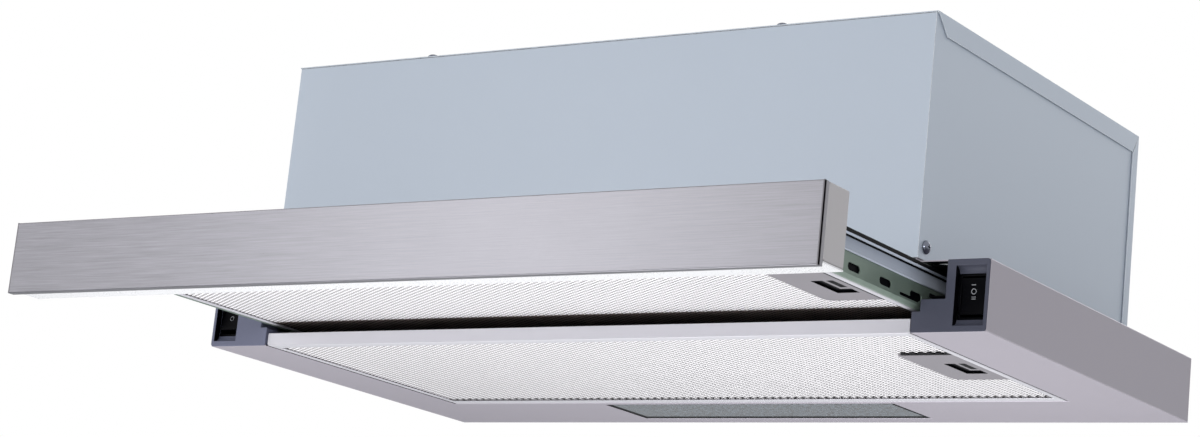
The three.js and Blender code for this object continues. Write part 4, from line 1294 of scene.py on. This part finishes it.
def make_slides():
    thin = {"radius": THIN_FOLD, "cut": BARE_EDGE}
    for side in WAY:
        rail_outline(side)
        # The fixed rail is painted black as shade, but for the upper part of its front end.
        ends = {"inner": black_plastic(), "painted_shade": rail_inside, "fold_area": SMALL_FOLD_AREA}
        dress(f"fixed_rail_{side}", material=bright_cut(), **thin, **ends)
        dress(f"rail_bracket_{side}", material=zinc(), **thin)
        make_drawer_rail(side)
        dress(f"drawer_arm_{side}", material=zinc(), **thin)
        back_slots(side)
        coat(slide_steel(), f"ball_cage_{side}")
    dress("drawer_cross_bar", material=zinc(), **thin)


def make_fascia():
    edges = {"cut": BARE_EDGE, "fold_area": SMALL_FOLD_AREA}
    dress("fascia_panel", 0.7 * MM, brushed_steel(), **edges)
    dress("fascia_body", 0.8 * MM, white_paint(), **edges)
    for side in WAY:
        mould(f"fascia_cheek_{side}", cheek_plastic())
    # Grey strips at both ends of the brushed panel: painted shade along its end edges.
    low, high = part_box("fascia_panel")
    wide, deep, proud = 0.7 * MM, 2 * MM, 0.05 * MM
    bm = bmesh.new()
    for left in (low.x, high.x - wide):
        slab(bm, (left, low.y - proud, low.z), (left + wide, low.y + deep, high.z))
    added("fascia_seams", bm, latch_plastic(), "fascia_panel")


# ---- switches

BAR_STEPS = 8
RING_STEPS = 32
RING_RADIUS = 1.5 * MM
BAR_WIDTH = 2.8 * MM
BAR_PITCH = 1.2 * MM
MARK_CLEAR = 0.05 * MM  # from the rocker's face to the print
MARK_THICK = 0.04 * MM
MOTOR_MARKS = {"ring": 3.2 * MM, "bars": ((7.0 * MM, 1), (-0.7 * MM, 2))}  # heights and counts
LIGHT_MARKS = {"ring": -2.4 * MM, "bars": ((5.6 * MM, 1),)}


def mark_bar(bm, x, z):
    """A short stroke, as a strip of faces that can follow a curve."""
    half = sizes().mark_line / 2
    rows = [
        [
            bm.verts.new((x + BAR_WIDTH * (i / BAR_STEPS - 0.5), 0, level))
            for i in range(BAR_STEPS + 1)
        ]
        for level in (z - half, z + half)
    ]
    for i in range(BAR_STEPS):
        bm.faces.new((rows[0][i], rows[0][i + 1], rows[1][i + 1], rows[1][i]))


def mark_ring(bm, x, z):
    half = sizes().mark_line / 2
    turns = [2 * math.pi * i / RING_STEPS for i in range(RING_STEPS)]
    inner, outer = (
        [bm.verts.new((x + reach * math.cos(t), 0, z + reach * math.sin(t))) for t in turns]
        for reach in (RING_RADIUS - half, RING_RADIUS + half)
    )
    for i in range(RING_STEPS):
        k = (i + 1) % RING_STEPS
        bm.faces.new((inner[i], inner[k], outer[k], outer[i]))


def laid_on(bm, node):
    """Moves flat marks back on to a rocker's face."""
    source = frame["nodes"][node]
    for vert in bm.verts:
        start = Vector((vert.co.x, -1.0, vert.co.z))
        hit, point, normal, _ = source.ray_cast(start, Vector((0, 1, 0)))
        if not hit:
            raise RuntimeError(f"{node} has no face at {vert.co.z}")
        vert.co = point + normal * MARK_CLEAR


def make_marks(node, marks):
    """White I, O and II marks lying on the rocker's face."""
    middle = middle_of(node)
    bm = bmesh.new()
    mark_ring(bm, middle.x, middle.z + marks["ring"])
    for height, count in marks["bars"]:
        for i in range(count):
            offset = (i - (count - 1) / 2) * BAR_PITCH
            mark_bar(bm, middle.x, middle.z + height + offset)
    laid_on(bm, node)
    bmesh.ops.solidify(bm, geom=bm.faces[:], thickness=MARK_THICK)
    added(f"{node}_marks", bm, mark_print(), node)


def make_switches():
    make_marks("motor_rocker", MOTOR_MARKS)
    make_marks("light_rocker", LIGHT_MARKS)
    for use in ("motor", "light"):
        mould(f"{use}_rocker", black_plastic(), segments=3)
        mould(f"{use}_switch_housing", black_plastic(), 0.25 * MM)


# ---- lamp

LENS_OVERLAP = 2.3 * MM  # the base's strip over the lens's edge
LENS_EDGE = 0.4 * MM
FACE_INSETS = Vector((5, 0.8)) * MM, Vector((3, 8)) * MM  # front left and rear right
FACE_SUNK = 0.15 * MM  # the lens's raised face above the base's underside
# Height of the black bar of painted shade above the base's underside.
SHADE_SUNK = 0.35 * MM


def make_lens():
    """A pane with a raised face, and a black bar of painted shade that shows as the dark gap round it.
    """
    low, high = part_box("lamp_lens")
    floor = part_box("base_frame")[0].z
    left, right = low.x + LENS_OVERLAP, high.x - LENS_OVERLAP
    front, rear = low.y + LENS_OVERLAP, high.y - LENS_OVERLAP
    near, far = FACE_INSETS
    bm = bmesh.new()
    slab(bm, low, high)
    slab(
        bm,
        (left + near.x, front + near.y, floor + FACE_SUNK),
        (right - far.x, rear - far.y, high.z - 0.3 * MM),
    )
    pane = rounded("lamp_lens_shown", bm, LENS_EDGE, LENS_EDGE, 0.0, (lens_glass(),), 2)
    settle(pane, "lamp_lens")
    corners = (left, front, floor + SHADE_SUNK), (right, rear, high.z - 0.6 * MM)
    painted_shade_inlay("lens_seal", "lamp_lens", *corners)


def make_lamp():
    make_lens()
    dress("lamp_tray", sizes().fold, white_paint(), cut=BARE_EDGE)
    for side in WAY:
        mould(f"lamp_holder_{side}", black_plastic(), 0.4 * MM)
        coat(bulb_glass(), f"lamp_bulb_{side}")


# ---- blower, duct and electrics

COLLAR_STEPS = 128
GROMMET_STEPS = 64
BAR_HALF = Vector((1.5, 58.5, 1.75)) * MM  # half of the bar that the flaps hang on


def make_blower():
    for side in WAY:
        coat(dark_plastic(), f"blower_housing_{side}")
    coat(cap_plastic(), "impeller")
    coat(slide_steel(), "motor_shaft")
    coat(motor_steel(), "fan_motor")
    coat(zinc(), "motor_bracket")


def foot_of(node):
    """The middle of a node's underside."""
    middle = middle_of(node)
    middle.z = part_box(node)[0].z
    return middle


def turned(node, profile, steps):
    """A profile in millimetres, turned round the upright line through a node's middle."""
    bm = bmesh.new()
    points = [(radius * MM, height * MM) for radius, height in profile]
    ring_mesh(bm, points, Matrix.Translation(foot_of(node)), steps)
    return bm


def finished_ring(node, bm, material, crease):
    """Stands in for a node: the turned shape, flat across sharp edges."""
    piece = piece_of(f"{node}_shown", closed(bm), material)
    settle(creased(piece, crease), node)


def make_collar():
    """A smooth collar with a flange, a bead and the bar that the flaps hang on."""
    low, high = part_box("duct_collar")
    flange = (high.x - low.x) / 2 / MM
    top = (high.z - low.z) / MM
    inner, outer, thick, edge = 58, 60, 2, 0.5
    bead = [(0, -6.4), (0.7, -6.0), (1, -5.2), (0.7, -4.4), (0, -4.0)]
    profile = [
        (inner, 0),
        (flange - edge, 0),
        (flange, edge),
        (flange, thick - edge),
        (flange - edge, thick),
        (outer + thick, thick),
        (outer, 2 * thick),
        *((outer + out, top + up) for out, up in bead),
        (outer, top - edge),
        (outer - edge, top),
        (inner + edge, top),
        (inner, top - edge),
    ]
    bm = turned("duct_collar", profile, COLLAR_STEPS)
    bar = middle_of("duct_collar")
    bar.z = middle_of("damper_flap_right").z
    slab(bm, bar - BAR_HALF, bar + BAR_HALF)
    finished_ring("duct_collar", bm, dark_plastic(), 35)


def make_duct():
    make_collar()
    for side in WAY:
        mould(f"damper_flap_{side}", black_plastic(), 0.25 * MM)


def make_electrics():
    mould("terminal_box", dark_plastic(), 0.6 * MM)
    coat(motor_steel(), "run_capacitor")
    coat(slide_steel(), "microswitch_lever")
    mould("drawer_microswitch", black_plastic(), 0.2 * MM)
    profile = [(4.0, 0.4), (4.4, 0), (8.0, 0), (8.0, 4.0), (7.0, 4.0), (7.0, 5.4), (9.0, 5.4)]
    profile += [(9.0, 6.2), (8.3, 7.6), (7.0, 8.6), (5.6, 9.1), (4.4, 9.1), (4.0, 8.7)]
    finished_ring("cable_grommet", turned("cable_grommet", profile, GROMMET_STEPS), rubber(), 40)


# ---- screws

HEAD_TALL = 2.6 * MM
HEAD_STEPS = 48
DOME_DEGREES = (12, 25, 38, 50, 62, 74, 84)
SHANK_RADIUS = 1.9 * MM
SHANK_LONG = 6 * MM
CROSS_LONG = 2.5 * MM  # half sizes of the recess at its mouth
CROSS_WIDE = 0.5 * MM
CROSS_FLOOR = 1.1 * MM
CROSS_TOP = 4 * MM
CROSS_TAPER = (0.55, 0.6)  # the recess's floor against its mouth
SCREW_CREASE = 40
SIDE_LEAN = 0.0001  # keeps a side screw from turning freely about its own axis


def cross_object():
    """The cutter for a screw's cross recess."""
    bm = bmesh.new()
    for turn in (0, math.pi / 2):
        low = (-CROSS_LONG, -CROSS_WIDE, CROSS_FLOOR)
        verts = slab(bm, low, (CROSS_LONG, CROSS_WIDE, CROSS_TOP))
        for vert in verts:
            if vert.co.z < HEAD_TALL:
                vert.co.x *= CROSS_TAPER[0]
                vert.co.y *= CROSS_TAPER[1]
        bmesh.ops.rotate(bm, verts=verts, matrix=Matrix.Rotation(turn, 3, "Z"))
    return piece_of("screw_cross", bm, smooth=False)


def screw_object():
    """A pan head with a cross recess, its underside at zero and its shank below."""
    radius = sizes().screw_head
    turns = [math.radians(degrees) for degrees in DOME_DEGREES]
    dome = [(radius * math.cos(turn), HEAD_TALL * math.sin(turn)) for turn in turns]
    shank = [(0, -SHANK_LONG), (SHANK_RADIUS, -SHANK_LONG), (SHANK_RADIUS, 0)]
    bm = bmesh.new()
    ring_mesh(bm, [*shank, (radius, 0), *dome, (0, HEAD_TALL)], Matrix.Identity(4), HEAD_STEPS)
    head = piece_of("screw_head", closed(bm))
    cross = cross_object()
    recess = head.modifiers.new("Recess", "BOOLEAN")
    recess.object = cross
    recess.operation = "DIFFERENCE"
    recess.solver = "EXACT"
    recess.use_self = True
    applied(head)
    drop(cross)
    return creased(head, SCREW_CREASE)


def recess_floor():
    """The shadowed floor of a screw's cross."""
    bm = bmesh.new()
    half, narrow = 1.9 * MM, 0.42 * MM
    for x, y in ((half, narrow), (narrow, half)):
        slab(bm, (-x, -y, 1.0 * MM), (x, y, 1.6 * MM))
    return piece_of("recess_inlay", bm, smooth=False)


def screw_place(node):
    """Where a screw's head sits on the sheet, and the way that it faces."""
    low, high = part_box(node)
    place = middle_of(node)
    if "top" in node:
        place.z = high.z - HEAD_TALL
        return place, (0, 0, 1)
    if "right" in node:
        place.x = high.x - HEAD_TALL
        return place, (1, SIDE_LEAN, 0)
    place.x = low.x + HEAD_TALL
    return place, (-1, SIDE_LEAN, 0)


def make_screws():
    nodes = [f"case_{face}_screw_{side}" for face in ("side", "top") for side in WAY]
    places = [screw_place(node) for node in nodes]
    screw = screw_object()
    screws = scattered("case_screws", screw, places, plating())
    drop(screw)
    settle(creased(screws, SCREW_CREASE), *nodes)
    inlay = recess_floor()
    floors = scattered("case_screw_recesses", inlay, places, black_plastic())
    drop(inlay)
    carry(floors, nodes[0])


# ---- stage

FLOOR_REACH = 40.0
FLOOR_TONE = (0.94, 0.94, 0.94, 1)
SKY_TONE = (0.93, 0.96, 1.0, 1)
CAMERA_PLACE = (1.056293, -1.757094, -0.361298)
CAMERA_TURN = (102.5398205, -5.8170985, 34.0858178)  # degrees about X, Y and Z
CAMERA_LENS = 86.313  # millimetres
CAMERA_SENSOR = 36.0
CAMERA_NEAR = 0.05
HOOD_MIDDLE = (0, -0.2, 0.05)
LIGHTS = {  # where each one stands, where it aims, and its two sizes
    "front": ((1.24, -2.1, 0.1), HOOD_MIDDLE, (1.2, 0.6)),
    "strip": ((-1.27, -2.35, 0.45), (-0.05, -0.49, 0), (0.45, 0.75)),
    "below": ((0.08, -0.35, -0.6), (0, -0.25, 0), (1.3, 0.4)),
    "left": ((-1.8, -0.9, 0.1), HOOD_MIDDLE, (0.8, 0.8)),
    "rear": ((0, 2.2, 1.2), HOOD_MIDDLE, (2.0, 1.4)),
}


def make_floor():
    material = bpy.data.materials.new("pale_floor")
    material.use_nodes = True
    shader = material.node_tree.nodes["Principled BSDF"]
    shader.inputs["Base Color"].default_value = FLOOR_TONE
    shader.inputs["Roughness"].default_value = 0.9
    level = BOUNDS_AT_LOAD[0][2] - bpy.context.scene.hood_stage.floor_drop
    place = Matrix.Translation((0, 0, level))
    bm = bmesh.new()
    bmesh.ops.create_grid(bm, x_segments=1, y_segments=1, size=FLOOR_REACH, matrix=place)
    piece_of("floor", bm, material, smooth=False)


def make_sky():
    """Even light, behind which the camera and mirrors see white."""
    world = bpy.data.worlds.new("soft_white")
    bpy.context.scene.world = world
    world.use_nodes = True
    tree = world.node_tree
    tree.nodes.clear()
    power = bpy.context.scene.hood_stage.sky
    lit = take(tree, "ShaderNodeBackground", {"Color": SKY_TONE, "Strength": power})
    seen = take(tree, "ShaderNodeBackground", {"Color": (1, 1, 1, 1), "Strength": 1.0})
    path = step(tree, "ShaderNodeLightPath").outputs
    shown = path["Is Camera Ray"]
    for ray in ("Is Glossy Ray", "Is Transmission Ray"):
        shown = joined(tree, "MAXIMUM", shown, path[ray])
    mix = take(tree, "ShaderNodeMixShader", {}, {0: shown, 1: lit, 2: seen})
    step(tree, "ShaderNodeOutputWorld", {}, {"Surface": mix})


def soft_light(name, place, target, size, power):
    data = bpy.data.lights.new(name, "AREA")
    data.shape = "RECTANGLE"
    data.size, data.size_y = size
    data.energy = power
    lamp = bpy.data.objects.new(name, data)
    bpy.context.scene.collection.objects.link(lamp)
    lamp.location = place
    aim = Vector(target) - Vector(place)
    lamp.rotation_euler = aim.to_track_quat("-Z", "Y").to_euler()


def make_camera():
    """The photograph's viewpoint, solved from the hood's own edges."""
    data = bpy.data.cameras.new("viewpoint")
    data.sensor_width = CAMERA_SENSOR
    data.lens = CAMERA_LENS
    data.clip_start = CAMERA_NEAR
    camera = bpy.data.objects.new("viewpoint", data)
    bpy.context.scene.collection.objects.link(camera)
    camera.location = CAMERA_PLACE
    camera.rotation_euler = [math.radians(degrees) for degrees in CAMERA_TURN]
    bpy.context.scene.camera = camera


def make_stage():
    bpy.context.scene.view_settings.view_transform = "Standard"
    make_camera()
    make_floor()
    make_sky()
    for name, (place, target, size) in LIGHTS.items():
        power = getattr(bpy.context.scene.hood_stage, name)
        soft_light(f"{name}_light", place, target, size, power)


# ---- operators

class HOOD_OT_case(bpy.types.Operator):
    """Folded case sheets"""

    bl_idname = "hood.case"
    bl_label = "Case"

    def execute(self, context):
        make_case()
        return {"FINISHED"}


class HOOD_OT_base(bpy.types.Operator):
    """Base frame and end caps"""

    bl_idname = "hood.base"
    bl_label = "Base and end caps"

    def execute(self, context):
        make_base()
        return {"FINISHED"}


class HOOD_OT_fascia(bpy.types.Operator):
    """Drawer front"""

    bl_idname = "hood.fascia"
    bl_label = "Drawer front"

    def execute(self, context):
        make_fascia()
        return {"FINISHED"}


class HOOD_OT_slides(bpy.types.Operator):
    """Telescopic slides, brackets and arms"""

    bl_idname = "hood.slides"
    bl_label = "Slides and arms"

    def execute(self, context):
        make_slides()
        return {"FINISHED"}


class HOOD_OT_filters(bpy.types.Operator):
    """Grease filters with expanded mesh and latches"""

    bl_idname = "hood.filters"
    bl_label = "Filters"

    def execute(self, context):
        make_filters()
        return {"FINISHED"}


class HOOD_OT_switches(bpy.types.Operator):
    """Rockers, their marks and housings"""

    bl_idname = "hood.switches"
    bl_label = "Switches"

    def execute(self, context):
        make_switches()
        return {"FINISHED"}


class HOOD_OT_lamp(bpy.types.Operator):
    """Lens, tray, holders and lamps"""

    bl_idname = "hood.lamp"
    bl_label = "Lamp"

    def execute(self, context):
        make_lamp()
        return {"FINISHED"}


class HOOD_OT_blower(bpy.types.Operator):
    """Blower, motor and bracket"""

    bl_idname = "hood.blower"
    bl_label = "Blower"

    def execute(self, context):
        make_blower()
        return {"FINISHED"}


class HOOD_OT_duct(bpy.types.Operator):
    """Duct collar and damper flaps"""

    bl_idname = "hood.duct"
    bl_label = "Duct collar"

    def execute(self, context):
        make_duct()
        return {"FINISHED"}


class HOOD_OT_electrics(bpy.types.Operator):
    """Terminal box, capacitor, grommet and microswitch"""

    bl_idname = "hood.electrics"
    bl_label = "Electrics"

    def execute(self, context):
        make_electrics()
        return {"FINISHED"}


class HOOD_OT_screws(bpy.types.Operator):
    """Case screws"""

    bl_idname = "hood.screws"
    bl_label = "Screws"

    def execute(self, context):
        make_screws()
        return {"FINISHED"}


class HOOD_OT_stage(bpy.types.Operator):
    """Camera, light and floor"""

    bl_idname = "hood.stage"
    bl_label = "Stage"

    def execute(self, context):
        make_stage()
        return {"FINISHED"}


OPERATORS = (
    HOOD_OT_case,
    HOOD_OT_base,
    HOOD_OT_fascia,
    HOOD_OT_slides,
    HOOD_OT_filters,
    HOOD_OT_switches,
    HOOD_OT_lamp,
    HOOD_OT_blower,
    HOOD_OT_duct,
    HOOD_OT_electrics,
    HOOD_OT_screws,
    HOOD_OT_stage,
)


class HOOD_PT_panel(bpy.types.Panel):
    """Lists the hood's pieces"""

    bl_idname = "HOOD_PT_panel"
    bl_label = "Slide-out hood"
    bl_space_type = "VIEW_3D"
    bl_region_type = "UI"
    bl_category = "Hood"

    def draw(self, context):
        for group in (context.scene.hood_finishes, context.scene.hood_sizes, context.scene.hood_stage):
            box = self.layout.box()
            for name in group.__annotations__:
                box.prop(group, name)
        for operator in OPERATORS:
            self.layout.operator(operator.bl_idname)


SETTINGS = {"hood_finishes": HoodFinishes, "hood_sizes": HoodSizes, "hood_stage": HoodStage}


def register():
    for kind in (*SETTINGS.values(), *OPERATORS, HOOD_PT_panel):
        bpy.utils.register_class(kind)
    for name, kind in SETTINGS.items():
        setattr(bpy.types.Scene, name, PointerProperty(type=kind))


def unregister():
    for name in SETTINGS:
        delattr(bpy.types.Scene, name)
    for kind in reversed((*SETTINGS.values(), *OPERATORS, HOOD_PT_panel)):
        bpy.utils.unregister_class(kind)


def main():
    register()
    for operator in OPERATORS:
        family, action = operator.bl_idname.split(".")
        getattr(getattr(bpy.ops, family), action)()


if __name__ == "__main__":
    main()
